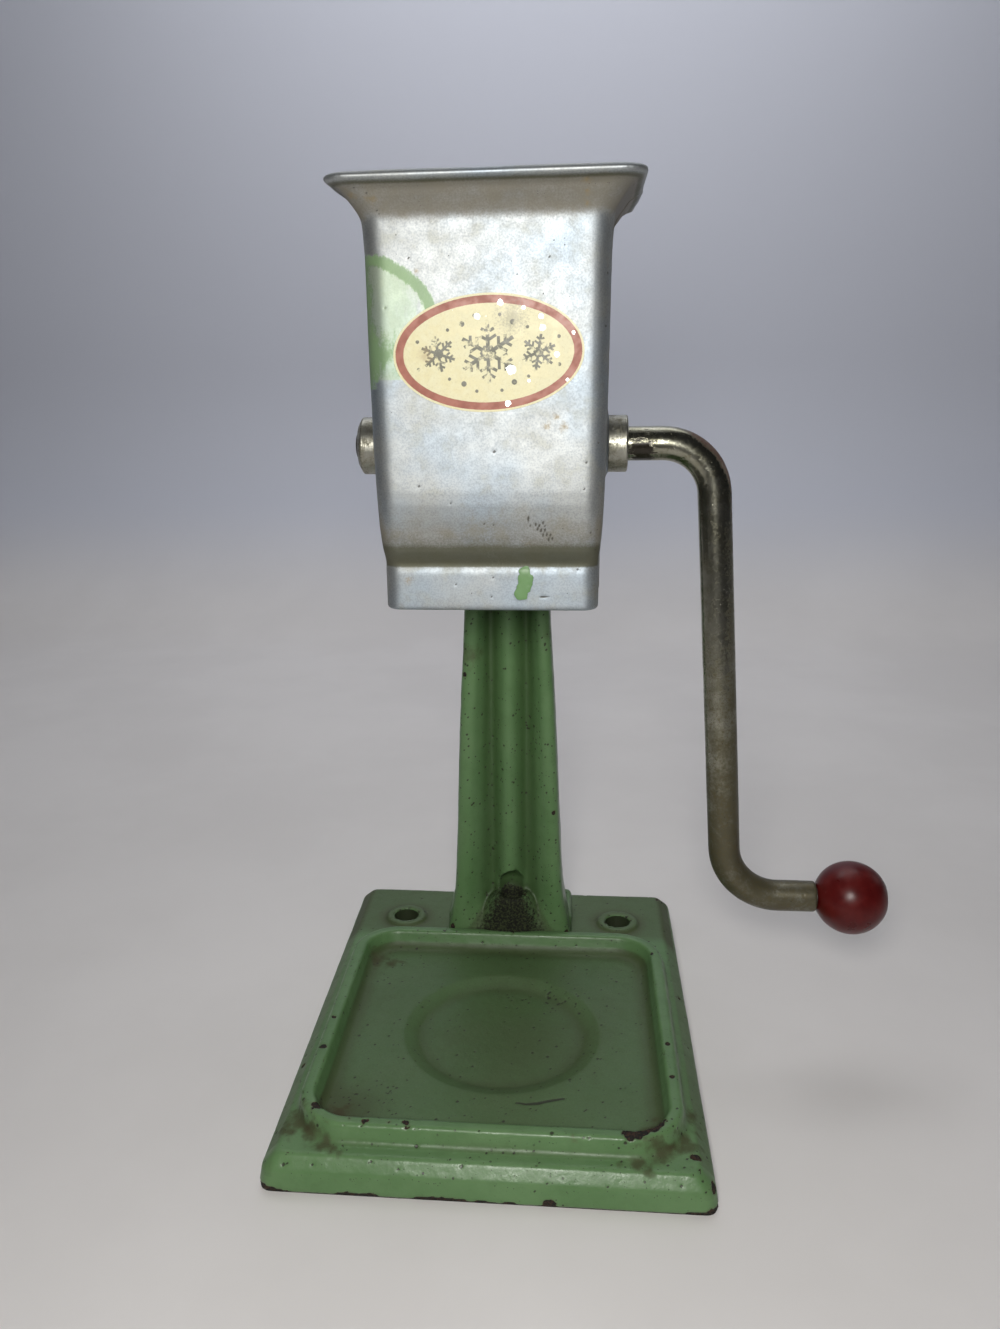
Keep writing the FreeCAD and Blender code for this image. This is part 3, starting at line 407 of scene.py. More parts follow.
def look_alloy():
    g = Look("alloy_satin_cast")
    big, mid = g.noise(30, 3, 0.55), g.noise(6, 4, 0.6)
    grain, fine = g.noise(0.55, 3, 0.65), g.noise(1.6, 4, 0.65)
    col = g.mix(g.soft(big, 0.35, 0.65), (0.375, 0.430, 0.480), (0.430, 0.445, 0.440))
    col = g.mix(g.mul(g.soft(grain, 0.42, 0.62), 0.42), col, (0.290, 0.315, 0.340))
    col = g.mix(g.mul(g.soft(mid, 0.50, 0.70), 0.26), col, (0.420, 0.415, 0.330))
    # grime in the hollows and under the rim, with painted shade: darker in hollows, under the flare, inside the hopper
    # and on faces turned sideways
    dirt_and_shade_film = g.add(g.attr("grime_and_shade"), g.add(g.mul(g.sub(mid, 0.5), 0.7), g.mul(g.sub(grain, 0.5), 0.55)))
    dirt_and_shade_film = g.soft(dirt_and_shade_film, 0.15, 1.0)
    col = g.mix(g.mul(dirt_and_shade_film, 0.80), col, (0.20, 0.175, 0.125))
    brown = g.soft(g.add(g.attr("brown"), g.add(g.mul(g.sub(fine, 0.5), 1.1), g.mul(g.sub(grain, 0.5), 0.5))), 0.20, 0.85)
    col = g.mix(g.mul(brown, 0.60), col, (0.31, 0.225, 0.095))
    # painted shade: dark olive band in the concave fold above the lip and in the crease under the rim's bead
    band = g.soft(g.add(g.attr("band"), g.add(g.mul(g.sub(mid, 0.5), 0.30), g.mul(g.sub(grain, 0.5), 0.35))), 0.15, 0.85)
    col = g.mix(g.mul(band, 0.88), col, (0.085, 0.085, 0.050))
    # black specks and pinholes
    c1 = g.cells(1.5)
    s1 = g.t.nodes.new("ShaderNodeSeparateColor")
    g.t.links.new(g.cells(1.5, out="Color"), s1.inputs[0])
    speck = g.soft(g.sub(g.soft(s1.outputs[0], 0.90, 1.0, -0.02, 0.16), c1), 0.0, 0.06)
    c2 = g.cells(0.7)
    s2 = g.t.nodes.new("ShaderNodeSeparateColor")
    g.t.links.new(g.cells(0.7, out="Color"), s2.inputs[0])
    more = g.soft(g.attr("grime_and_shade"), 0.1, 0.8, 0.15, 1.0)
    speck2 = g.mul(g.soft(g.sub(g.soft(s2.outputs[1], 0.80, 1.0, -0.02, 0.25), c2), 0.0, 0.10), more)
    pit = g.soft(g.add(g.attr("pit"), g.mul(g.sub(fine, 0.5), 0.4)), 0.35, 0.60)
    dark = g.mx(g.mx(speck, speck2), pit)
    col = g.mix(g.mul(dark, 0.72), col, (0.055, 0.050, 0.042))
    # fine scratches, mostly lengthways
    s = g.noise(1.0, 4, 0.6, g.scaled((1.0, 1.0, 0.045)))
    scr = g.soft(g.f("ABSOLUTE", g.sub(s, 0.5)), 0.006, 0.0, 0.0, 1.0)
    scr = g.mul(scr, g.soft(g.noise(11, 2, 0.5), 0.50, 0.62))
    cut = g.soft(g.attr("cut"), 0.1, 0.5)
    # green paint left on the metal
    smear = g.add(g.attr("paint"), g.add(g.mul(g.sub(g.noise(1.7, 4, 0.7, g.scaled((1.0, 1.0, 0.30))), 0.5), 1.5), g.mul(g.sub(grain, 0.5), 0.45)))
    smear = g.soft(smear, 0.30, 0.72)
    wash = g.add(g.attr("wash"), g.add(g.mul(g.sub(g.noise(2.2, 4, 0.7, g.scaled((1.0, 1.0, 0.35))), 0.5), 1.2), g.mul(g.sub(grain, 0.5), 0.4)))
    wash = g.mul(g.soft(wash, 0.15, 0.85), 0.55)
    drop = g.soft(g.add(g.attr("drop"), g.mul(g.sub(g.noise(1.6, 3, 0.5), 0.5), 0.30)), 0.0, 0.05)
    col = g.mix(g.mul(scr, 0.35), col, (0.40, 0.39, 0.36))
    col = g.mix(g.mul(cut, 0.85), col, (0.085, 0.078, 0.062))
    col = g.mix(wash, col, (0.330, 0.430, 0.270))
    col = g.mix(g.mul(smear, 0.80), col, (0.140, 0.245, 0.095))
    col = g.mix(drop, col, (0.140, 0.270, 0.105))
    paint = g.mx(g.mx(g.mul(smear, 0.80), drop), g.mul(wash, 0.7))
    metal = g.mul(g.sub(1.0, paint), g.sub(1.0, g.mul(g.mx(g.mx(dirt_and_shade_film, band), brown), 0.55)))
    metal = g.mul(metal, g.sub(1.0, g.mul(dark, 0.5)))
    rough = g.lerp(g.soft(mid, 0.3, 0.7), 0.55, 0.62)
    rough = g.add(rough, g.mul(g.sub(grain, 0.5), 0.12))
    rough = g.lerp(g.mx(dirt_and_shade_film, band), rough, 0.62)
    rough = g.lerp(paint, rough, 0.42)
    h = g.add(g.mul(grain, 0.16), g.mul(fine, 0.14))
    h = g.sub(h, g.mul(dark, 0.25))
    h = g.sub(h, g.mul(scr, 0.05))
    h = g.sub(h, g.mul(cut, 0.5))
    h = g.add(h, g.mul(drop, 0.7))
    return g.end(col, rough, g.bump(h, 0.10), metal, Specular_IOR_Level=0.5)


def look_crank():
    g = Look("plated_rod_worn")
    mid, fine, grain = g.noise(7, 4, 0.6), g.noise(1.1, 4, 0.7), g.noise(0.5, 2, 0.6)
    col = g.mix(g.soft(mid, 0.35, 0.65), (0.33, 0.325, 0.265), (0.235, 0.228, 0.170))
    low = g.soft(g.z, 0.175, 0.075)
    # tarnish with painted shade: darker on faces turned right and darker lower down, lighter on the upper faces turned
    # forward
    dark_brown_and_shade = g.soft(g.add(g.attr("tarnish_and_shade"), g.add(g.mul(g.sub(mid, 0.5), 0.9), g.mul(g.sub(fine, 0.5), 0.8))), 0.2, 0.95)
    col = g.mix(g.mul(dark_brown_and_shade, 0.85), col, (0.062, 0.052, 0.024))
    col = g.mix(g.mul(g.soft(g.add(fine, g.mul(low, 0.08)), 0.56, 0.68), 0.50), col, (0.105, 0.085, 0.036))
    c1 = g.cells(1.0)
    s1 = g.t.nodes.new("ShaderNodeSeparateColor")
    g.t.links.new(g.cells(1.0, out="Color"), s1.inputs[0])
    speck = g.soft(g.sub(g.soft(s1.outputs[0], 0.55, 1.0, -0.02, 0.27), c1), 0.0, 0.08)
    speck = g.mul(speck, g.soft(g.noise(5, 3, 0.6), 0.42, 0.60, 0.10, 1.0))
    col = g.mix(g.mul(speck, 0.75), col, (0.022, 0.018, 0.009))
    rusty = g.soft(g.add(g.attr("rusty"), g.mul(g.sub(fine, 0.5), 1.3)), 0.30, 0.85)
    col = g.mix(g.mul(rusty, 0.75), col, (0.120, 0.040, 0.028))
    # dark wear by the right boss, with painted shade on its undersides; the rod's left end is black
    black = g.soft(g.add(g.attr("black"), g.mul(g.sub(g.noise(1.8, 4, 0.7, g.scaled((0.35, 1.0, 1.0))), 0.5), 1.7)), 0.42, 0.62)
    col = g.mix(black, col, (0.020, 0.016, 0.010))
    metal = g.sub(1.0, g.mul(g.mx(g.mx(dark_brown_and_shade, rusty), g.mx(black, speck)), 0.60))
    rough = g.lerp(g.soft(fine, 0.3, 0.7), 0.19, 0.28)
    rough = g.lerp(g.mx(g.mul(dark_brown_and_shade, 0.7), g.mx(speck, rusty)), rough, 0.50)
    h = g.sub(g.mul(fine, 0.3), g.mul(g.mx(speck, black), 0.5))
    return g.end(col, rough, g.bump(h, 0.08), metal, Specular_IOR_Level=0.5)


def look_knob():
    g = Look("red_plastic_gloss")
    mid, fine = g.noise(6, 3, 0.6), g.noise(0.7, 3, 0.6)
    col = g.mix(g.soft(mid, 0.35, 0.7), (0.072, 0.0045, 0.0045), (0.098, 0.007, 0.006))
    col = g.mix(g.mul(g.soft(g.noise(1.6, 3, 0.6), 0.58, 0.72), 0.30), col, (0.040, 0.004, 0.004))
    dust = g.mul(g.soft(g.sub(0.085, g.cells(2.3)), 0.0, 0.05), g.soft(g.noise(6, 2, 0.5), 0.46, 0.6))
    col = g.mix(g.mul(dust, 0.40), col, (0.36, 0.22, 0.19))
    s = g.noise(0.8, 3, 0.6, g.scaled((1.0, 0.25, 0.25)))
    scr = g.mul(g.soft(g.f("ABSOLUTE", g.sub(s, 0.5)), 0.008, 0.0), g.soft(mid, 0.5, 0.62))
    rough = g.add(g.lerp(g.soft(mid, 0.3, 0.7), 0.27, 0.37), g.mul(g.mx(scr, dust), 0.25))
    h = g.add(g.mul(g.noise(3.2, 2, 0.5), 0.35), g.sub(g.mul(dust, 0.3), g.mul(scr, 0.2)))
    return g.end(col, rough, g.bump(h, 0.06), 0.0, Specular_IOR_Level=0.28, IOR=1.5)


def look_plain_metal(name, c0, c1, dirt, rough0, rough1, rust=0.35, size=1.0, turned=None, metal=1.0):
    g = Look(name)
    mid, fine = g.noise(3.2 * size, 4, 0.6), g.noise(0.7 * size, 3, 0.65)
    col = g.mix(g.soft(mid, 0.35, 0.68), c0, c1)
    spot = g.soft(g.add(g.mul(mid, 0.5), g.mul(fine, 0.5)), 0.50, 0.62)
    col = g.mix(g.mul(spot, rust), col, dirt)
    c = g.cells(0.8 * size)
    s = g.t.nodes.new("ShaderNodeSeparateColor")
    g.t.links.new(g.cells(0.8 * size, out="Color"), s.inputs[0])
    speck = g.soft(g.sub(g.soft(s.outputs[0], 0.7, 1.0, -0.02, 0.25), c), 0.0, 0.1)
    col = g.mix(g.mul(speck, 0.6), col, tuple(0.35 * v for v in dirt))
    rough = g.lerp(spot, g.lerp(g.soft(fine, 0.3, 0.7), rough0, rough1), 0.62)
    h = g.add(g.mul(fine, 0.4), g.mul(mid, 0.3))
    if turned:
        # rings left by the lathe round the shaft's line
        r = g.f("SQRT", g.add(g.f("POWER", g.sub(g.y, turned[0]), 2.0), g.f("POWER", g.sub(g.z, turned[1]), 2.0)))
        ring = g.f("SINE", g.add(g.mul(r, 14000.0), g.mul(g.x, 9000.0)))
        h = g.add(h, g.mul(ring, 0.10))
    h = g.sub(h, g.mul(speck, 0.5))
    return g.end(col, rough, g.bump(h, 0.06), g.sub(metal, g.mul(g.mx(spot, speck), 0.5 * min(1.0, rust * 2))), Specular_IOR_Level=0.5)


def look_label():
    """A worn oval transfer: thin cream edge, brick-red band, pale field with snow crystals and dots."""
    g = Look("oval_transfer_worn")
    cx, cz, tilt = 0.5, 254.3, math.radians(1.3)
    ca, sa = math.cos(tilt), math.sin(tilt)
    x0, z0 = g.sub(g.mul(g.x, 1000.0), cx), g.sub(g.mul(g.z, 1000.0), cz)
    # the label's own axes, in mm
    u = g.add(g.mul(x0, ca), g.mul(z0, sa))
    v = g.sub(g.mul(z0, ca), g.mul(x0, sa))
    fine, mid = g.noise(0.5, 3, 0.6), g.noise(3.0, 3, 0.6)
    wob = g.mul(g.sub(g.noise(1.1, 3, 0.6), 0.5), 0.010)

    def oval(a, b):
        return g.add(g.f("SQRT", g.add(g.f("POWER", g.f("DIVIDE", u, a), 2.0), g.f("POWER", g.f("DIVIDE", v, b), 2.0))), wob)

    def crystal(px, pz, R, turn, w):
        du, dv = g.sub(u, px), g.sub(v, pz)
        r = g.f("SQRT", g.add(g.mul(du, du), g.mul(dv, dv)))
        a = g.add(g.f("ARCTAN2", dv, du), turn)
        fold = g.f("ABSOLUTE", g.sub(g.f("FLOORED_MODULO", g.add(a, math.pi / 6), math.pi / 3), math.pi / 6))
        p, q = g.mul(r, g.f("COSINE", fold)), g.mul(r, g.f("SINE", fold))
        arm = g.mul(g.soft(g.sub(w, q), 0.0, 0.12), g.soft(g.sub(R, p), 0.0, 0.12))
        out = arm
        for at, length in ((0.42, 0.34), (0.68, 0.26)):
            # a twig at 60 degrees from the arm, starting at share `at` of it
            dp = g.sub(p, at * R)
            along = g.add(g.mul(dp, 0.5), g.mul(q, 0.866))
            off = g.f("ABSOLUTE", g.sub(g.mul(dp, 0.866), g.mul(q, 0.5)))
            twig = g.mul(g.soft(g.sub(w * 0.8, off), 0.0, 0.12), g.mul(g.soft(along, -0.05, 0.05), g.soft(g.sub(length * R, along), 0.0, 0.12)))
            out = g.mx(out, twig)
        hexr = g.f("ABSOLUTE", g.sub(p, 0.20 * R))
        out = g.mx(out, g.soft(g.sub(w * 0.75, hexr), 0.0, 0.12))
        return out

    def dot(px, pz, r):
        du, dv = g.sub(u, px), g.sub(v, pz)
        d = g.f("SQRT", g.add(g.mul(du, du), g.mul(dv, dv)))
        return g.soft(g.sub(r, d), 0.0, 0.12)

    cream = g.mix(g.soft(mid, 0.35, 0.7), (0.66, 0.60, 0.33), (0.72, 0.68, 0.44))
    cream = g.mix(g.mul(g.soft(fine, 0.5, 0.7), 0.35), cream, (0.52, 0.46, 0.25))
    red = g.mix(g.soft(mid, 0.4, 0.7), (0.33, 0.085, 0.040), (0.27, 0.065, 0.032))
    ink = (0.040, 0.044, 0.030)
    col = cream
    marks = g.mx(crystal(0.0, 0.0, 8.6, math.pi / 2, 0.62), g.mx(crystal(-14.6, 0.3, 5.2, 0.35, 0.46), crystal(14.6, -0.3, 5.2, -0.35, 0.46)))
    for px, pz, r in ((-7.4, 8.4, 0.85), (7.4, 8.4, 0.85), (-7.4, -8.4, 0.85), (7.4, -8.4, 0.85), (-20.6, 3.9, 0.6), (20.6, 3.9, 0.6),
                      (-20.6, -3.9, 0.6), (20.6, -3.9, 0.6), (-11.6, 6.9, 0.55), (11.6, 6.9, 0.55), (-11.6, -6.9, 0.55), (11.6, -6.9, 0.55),
                      (-3.7, 10.6, 0.55), (3.7, 10.6, 0.55), (-3.7, -10.6, 0.55), (3.7, -10.6, 0.55)):
        marks = g.mx(marks, dot(px, pz, r))
    faded = g.soft(g.noise(2.2, 3, 0.6), 0.34, 0.50)
    col = g.mix(g.mul(marks, g.mul(faded, 0.90)), col, ink)
    band = g.mul(g.soft(oval(24.9, 13.9), 0.996, 1.006), g.soft(oval(27.3, 16.1), 1.004, 0.994))
    col = g.mix(band, col, red)
    # dark rub on the upper right, brown age spots
    rub = g.mul(g.soft(g.add(g.mul(g.sub(7.5, g.point(7.5, -40.2, 264.0)), 0.12), g.mul(g.sub(fine, 0.5), 1.6)), 0.15, 0.9), 0.45)
    col = g.mix(rub, col, (0.17, 0.165, 0.13))
    spot = g.soft(g.add(g.mul(g.sub(3.0, g.point(-18.0, -40.2, 254.0)), 0.2), g.sub(g.noise(1.5, 3, 0.6), 0.5)), 0.0, 0.6)
    col = g.mix(g.mul(spot, 0.5), col, (0.38, 0.26, 0.10))
    # flecks worn through to bright metal
    worn = None
    for px, pz, r in ((4.1, 268.2, 1.1), (15.9, 264.2, 0.9), (7.2, 249.6, 1.7), (20.4, 253.6, 1.0), (6.2, 240.0, 1.1), (16.4, 261.2, 1.1),
                      (-2.6, 264.6, 1.1), (12.4, 246.4, 0.6), (23.6, 246.5, 0.6), (25.2, 259.6, 0.7), (10.8, 266.8, 0.7)):
        d = g.sub(1.0, g.mul(g.point(px, -40.2, pz), 1.0 / r))
        worn = d if worn is None else g.mx(worn, d)
    worn = g.soft(g.add(worn, g.mul(g.sub(g.noise(1.0, 4, 0.7), 0.5), 1.3)), 0.12, 0.24)
    c = g.cells(1.6)
    s = g.t.nodes.new("ShaderNodeSeparateColor")
    g.t.links.new(g.cells(1.6, out="Color"), s.inputs[0])
    tiny = g.mul(g.soft(g.sub(g.soft(s.outputs[0], 0.86, 1.0, -0.02, 0.15), c), 0.0, 0.05), g.soft(g.noise(8, 2, 0.5), 0.50, 0.62))
    worn = g.mx(worn, tiny)
    col = g.mix(worn, col, (0.80, 0.81, 0.80))
    rough = g.lerp(worn, g.lerp(g.soft(mid, 0.3, 0.7), 0.38, 0.50), 0.45)
    h = g.sub(g.add(g.mul(g.noise(2.0, 3, 0.5), 0.3), g.mul(marks, 0.10)), g.mul(worn, 0.6))
    return g.end(col, rough, g.bump(h, 0.05), g.mul(worn, 0.9), Specular_IOR_Level=0.5)


def look_stage(name, c0, c1):
    g = Look(name)
    col = g.mix(g.soft(g.noise(140, 4, 0.55), 0.35, 0.65), c0, c1)
    col = g.mix(g.soft(g.z, 0.0, 0.12), col, (0.62, 0.64, 0.72))
    return g.end(col, 0.75, g.bump(g.noise(3.0, 3, 0.6), 0.03), 0.0)


ENAMEL, ALLOY, CRANK, KNOB = look_enamel(), look_alloy(), look_crank(), look_knob()
BUSH = look_plain_metal("bush_turned", (0.40, 0.395, 0.345), (0.29, 0.28, 0.225), (0.075, 0.068, 0.040), 0.33, 0.45, 0.45, 1.0, (-0.002, 0.2252))
STEEL = look_plain_metal("fastener_zinc", (0.42, 0.41, 0.38), (0.31, 0.30, 0.27), (0.11, 0.075, 0.045), 0.36, 0.50, 0.6, 0.8)
IRON = look_plain_metal("tinned_iron", (0.36, 0.36, 0.35), (0.25, 0.25, 0.24), (0.085, 0.065, 0.045), 0.45, 0.60, 0.6, 1.6)
LABEL = look_label()


# ---------------------------------------------------------------- base
def build_base():
    s = Skin("base_casting", "base_skin", 0.62, 4)
    p = s.co.copy()
    hollow = s.curvature(6)
    wide = s.blur(hollow, 30)
    up = s.no[:, 2]
    x, y, z = p.T
    top = z > 6.0
    # slow waves of the sand mould, and orange peel in the enamel
    s.push((fbm(p, 16, 2, 3) - 0.5) * 0.30 * (z > 1.0) + (fbm(p, 3.2, 2, 9) - 0.5) * 0.14 * (z > 1.0))
    chips = [(-55.8, -70.6, 17.5, 2.3), (-44.1, -76.9, 16.8, 1.5), (-39.3, -77.7, 16.8, 1.3), (-38.2, -77.2, 17.2, 1.0), (-31.5, -77.6, 16.8, 1.4),
             (-25.6, -77.4, 16.9, 1.5), (-24.2, -77.8, 16.4, 1.3), (27.8, -78.6, 16.2, 1.5), (44.9, -77.0, 17.3, 2.2), (48.0, -76.9, 17.4, 1.9),
             (50.2, -75.6, 17.5, 1.8), (52.6, -73.8, 17.6, 2.0), (54.6, -71.8, 17.6, 1.8), (56.0, -69.6, 17.5, 1.3), (65.8, -78.6, 11.4, 1.8),
             (70.2, -86.0, 7.2, 1.6), (20.0, -90.5, 1.0, 2.2), (-56.4, 29.4, 17.4, 1.4), (59.5, 30.5, 17.3, 1.0), (61.0, -30.0, 17.8, 0.9),
             (61.0, -48.0, 17.8, 1.1), (-61.2, -40.0, 17.8, 1.2), (-61.3, -22.0, 17.8, 1.0), (-68.5, -40.0, 9.0, 1.3), (68.8, 12.0, 9.0, 1.2),
             (-71.5, 60.0, 6.0, 1.6), (66.6, 88.0, 10.5, 1.5), (-30.0, 94.0, 7.5, 1.8), (20.0, 94.8, 4.0, 1.5), (71.2, -20.0, 5.0, 1.3), (-71.2, 20.0, 4.0, 1.5)]
    chip = spots(p, chips, 0.55, 1.6, 21)
    # bare black line along the lower edge and its corners
    corner = sstep(np.abs(x) - 60, 0, 11) * sstep(np.abs(y) - 80, 0, 10)
    foot = 1 - (z - 0.2) / (0.45 + 1.5 * corner + 1.0 * sstep(fbm(p, 9, 3, 31), 0.50, 0.74))
    chip = np.maximum(chip, np.where(z < 6, np.clip(foot, -1, 1) + (fbm(p, 1.6, 2, 33) - 0.5) * 0.9, -1))
    pit = scatter(s, 300, 0.55, 1.15, 4, top & (up > 0.2))
    pit = np.maximum(pit, scatter(s, 110, 0.5, 1.0, 5, (z > 1) & (z < 11.5)))
    # a cluster of marks inside the ring's rim, specks by the front-left corner
    near = (np.hypot(x - 19, y - 9) < 11) & (z < 12) & (up > 0.5)
    pit = np.maximum(pit, scatter(s, 26, 0.5, 1.1, 6, near))
    near = (np.hypot(x + 42, y + 60) < 13) & (z < 13) & (up > 0.5)
    pit = np.maximum(pit, scatter(s, 24, 0.5, 1.0, 7, near))
    # a long gouge across the tray's front
    t = np.clip((x - 9) / 15.0, 0, 1)
    line = np.abs(y - (-56.4 + 3.4 * t ** 1.6) + (fbm(p, 4, 2, 12) - 0.5) * 1.6)
    gouge = np.where((z < 12.5) & (x > 8) & (x < 25), 1 - line / (0.75 + 0.5 * np.sin(t * 3.1)), 0)
    pit = np.maximum(pit, np.clip(gouge, 0, 1))
    # painted shade: the hold-down holes are painted black inside, as pits
    pit = np.maximum(pit, 1.0 * ((np.hypot(np.abs(x) - 47, y - 65) < 5.15) | ((np.hypot(np.abs(x) - 47, y - 65) < 5.6) & (z < 12.4))) * (z > 0.5))
    # bruised edges
    crest = -s.blur(s.curvature(2), 2)
    rough_edge = (crest > 0.03) & (fbm(p, 1.6, 3, 44) > 0.63) & top
    chip = np.maximum(chip, np.where(rough_edge, 0.25, -1.0) * 1.0)
    stains = [(-62.0, -72.0, 12.0, 7.5), (-57.0, -77.0, 12.5, 7.0), (-52.0, -82.5, 11.7, 5.5), (47.0, -83.0, 11.7, 5.0), (55.0, -79.0, 12.2, 7.0), (63.0, -73.0, 12.0, 7.5),
              (66.0, -60.0, 11.5, 5.0), (-54.0, 30.0, 12.0, 7.0), (-48.0, 27.0, 11.0, 5.0), (-50.0, -66.0, 11.0, 7.0), (-44.0, -70.0, 12.0, 5.0), (55.0, -66.0, 13.0, 6.0)]
    stain = np.clip(spots(p, stains, 0.8, 3.2, 51), 0, 1) * 0.8
    inside = (np.abs(x) < 60) & (np.abs(y + 16.4) < 60) & (z < 17) & (up > 0.4)
    inside = s.blur(inside.astype(float), 4)
    rear = sstep(y, 44, 56) * (up > 0.5) * (z > 8)
    side = sstep(np.abs(x), 64.5, 68) * (z > 5)
    # grime inside the tray, on the rear ledge and round the holes, with painted shade on the side faces and in hollows
    grime_and_shade = 0.52 * inside + 0.68 * rear + 0.52 * side + np.clip(wide * 26, 0, 0.6) + 0.16 * (fbm(p, 26, 3, 61) - 0.5)
    grime_and_shade += 0.22 * np.exp(-((np.hypot(x - 5, y + 16)) / 30) ** 2) * inside
    grime_and_shade += 0.5 * np.exp(-((np.hypot(x + 50, y + 64)) / 12) ** 2) * inside
    grime_and_shade += 0.4 * np.clip(1 - (np.abs(np.hypot(np.abs(x) - 47, y - 65) - 9.4)) / 1.6, 0, 1) * (y > 50)
    grime_and_shade = grime_and_shade - 0.25 * (y < -82)
    s.push(-0.30 * sstep(chip, -0.02, 0.15) - 0.20 * sstep(pit, 0.1, 0.8))
    s.put("chip", np.clip(chip, -1, 1))
    s.put("pit", pit)
    s.put("stain", stain)
    s.put("grime_and_shade", grime_and_shade)
    s.put("edge", np.clip(crest * 14, 0, 1))
    # painted shade: darker green inside the tray
    s.put("hollow_shade", 0.25 * inside)
    s.co[:, 2] = np.where(p[:, 2] < 0.45, 0.0, s.co[:, 2])
    s.put("soil", 0.55 * np.exp(-((np.abs(x) / 20) ** 4)) * sstep(y, 44.5, 46.5) * (y < 52) * (z > 9))
    return s.done("frame", ENAMEL)


def build_column():
    s = Skin("column_casting", "column_skin", 0.62, 5)
    p = s.co.copy()
    x, y, z = p.T
    hollow = s.curvature(8)
    wide = s.blur(hollow, 40)
    s.push((fbm(p, 14, 2, 103) - 0.5) * 0.40 + (fbm(p, 3.2, 2, 109) - 0.5) * 0.14)
    crest = -s.blur(s.curvature(2), 2)
    pit = scatter(s, 700, 0.45, 0.95, 14, s.no[:, 1] < 0.3)
    pit = np.maximum(pit, scatter(s, 160, 0.5, 1.0, 15, z < 120))
    chip = np.where((crest > 0.035) & (fbm(p, 2.4, 3, 144) > 0.68), 0.3, -1.0)
    chip = np.maximum(chip, spots(p, [(18.9, 46.3, 72, 0.9), (-17.6, 46.4, 131, 1.0), (-24.0, 46.5, 18, 1.2), (24.6, 46.6, 17, 1.2)], 0.5, 1.5, 121))
    groove = sstep(y, 47.5, 52.5) * (np.abs(x) < 18) * (z < 190) * (z > 20) * (s.no[:, 1] < 0.2)
    neck = sstep(z, 150, 172) * (z < 205)
    foot = np.exp(-((z - 14) / 10) ** 2)
    mound = s.blur(((np.abs(x - 1) < 8 + 0.62 * np.clip(34 - z, 0, 22)) & (z < 36) & (y < 57)).astype(float), 3)
    # grime at the foot and mound, with painted shade under the hopper (neck), in the grooves and in hollows
    grime_and_shade = 0.10 * groove + 0.30 * neck + 0.25 * foot + 0.35 * mound + np.clip(wide * 8, 0, 0.25) + 0.20 * (fbm(p, 20, 3, 161) - 0.5) + 0.12
    soil = np.clip(1.35 - np.abs(x - 1.0) / (8.0 + 0.55 * np.clip(34 - z, 0, 22)), 0, 1) * sstep(36.5 - z, 0, 4) * (y < 58.5) * (y > 40)
    soil = np.maximum(soil * 0.72, 0.5 * (z < 13.0) * (y < 60))
    # painted shade: the hole in the foot is painted near-black with the soil colour
    hole = (np.hypot(x - 1.4, y - 50.2) < 4.4) & (z < 33.2) & (z > 20)
    soil = np.where(hole, 1.0, soil)
    s.push(-0.28 * sstep(chip, -0.02, 0.15) - 0.18 * sstep(pit, 0.1, 0.8) + 0.35 * soil * (fbm(p, 1.6, 3, 171) - 0.4))
    s.put("chip", np.clip(chip, -1, 1))
    s.put("pit", pit)
    s.put("stain", np.clip(spots(p, [(20, 47, 150, 7), (-16, 47, 140, 7), (22, 50, 20, 5)], 0.5, 5, 151), 0, 1) * 0.5)
    # painted shade: darker green in the grooves, under the hopper and in hollows
    s.put("hollow_shade", np.clip(0.65 * groove + 0.5 * neck + np.clip(wide * 14, 0, 0.5), 0, 1))
    s.put("grime_and_shade", grime_and_shade)
    s.put("edge", np.clip(crest * 12, 0, 1) * (1 - mound))
    s.put("soil", soil)
    return s.done("frame", ENAMEL)


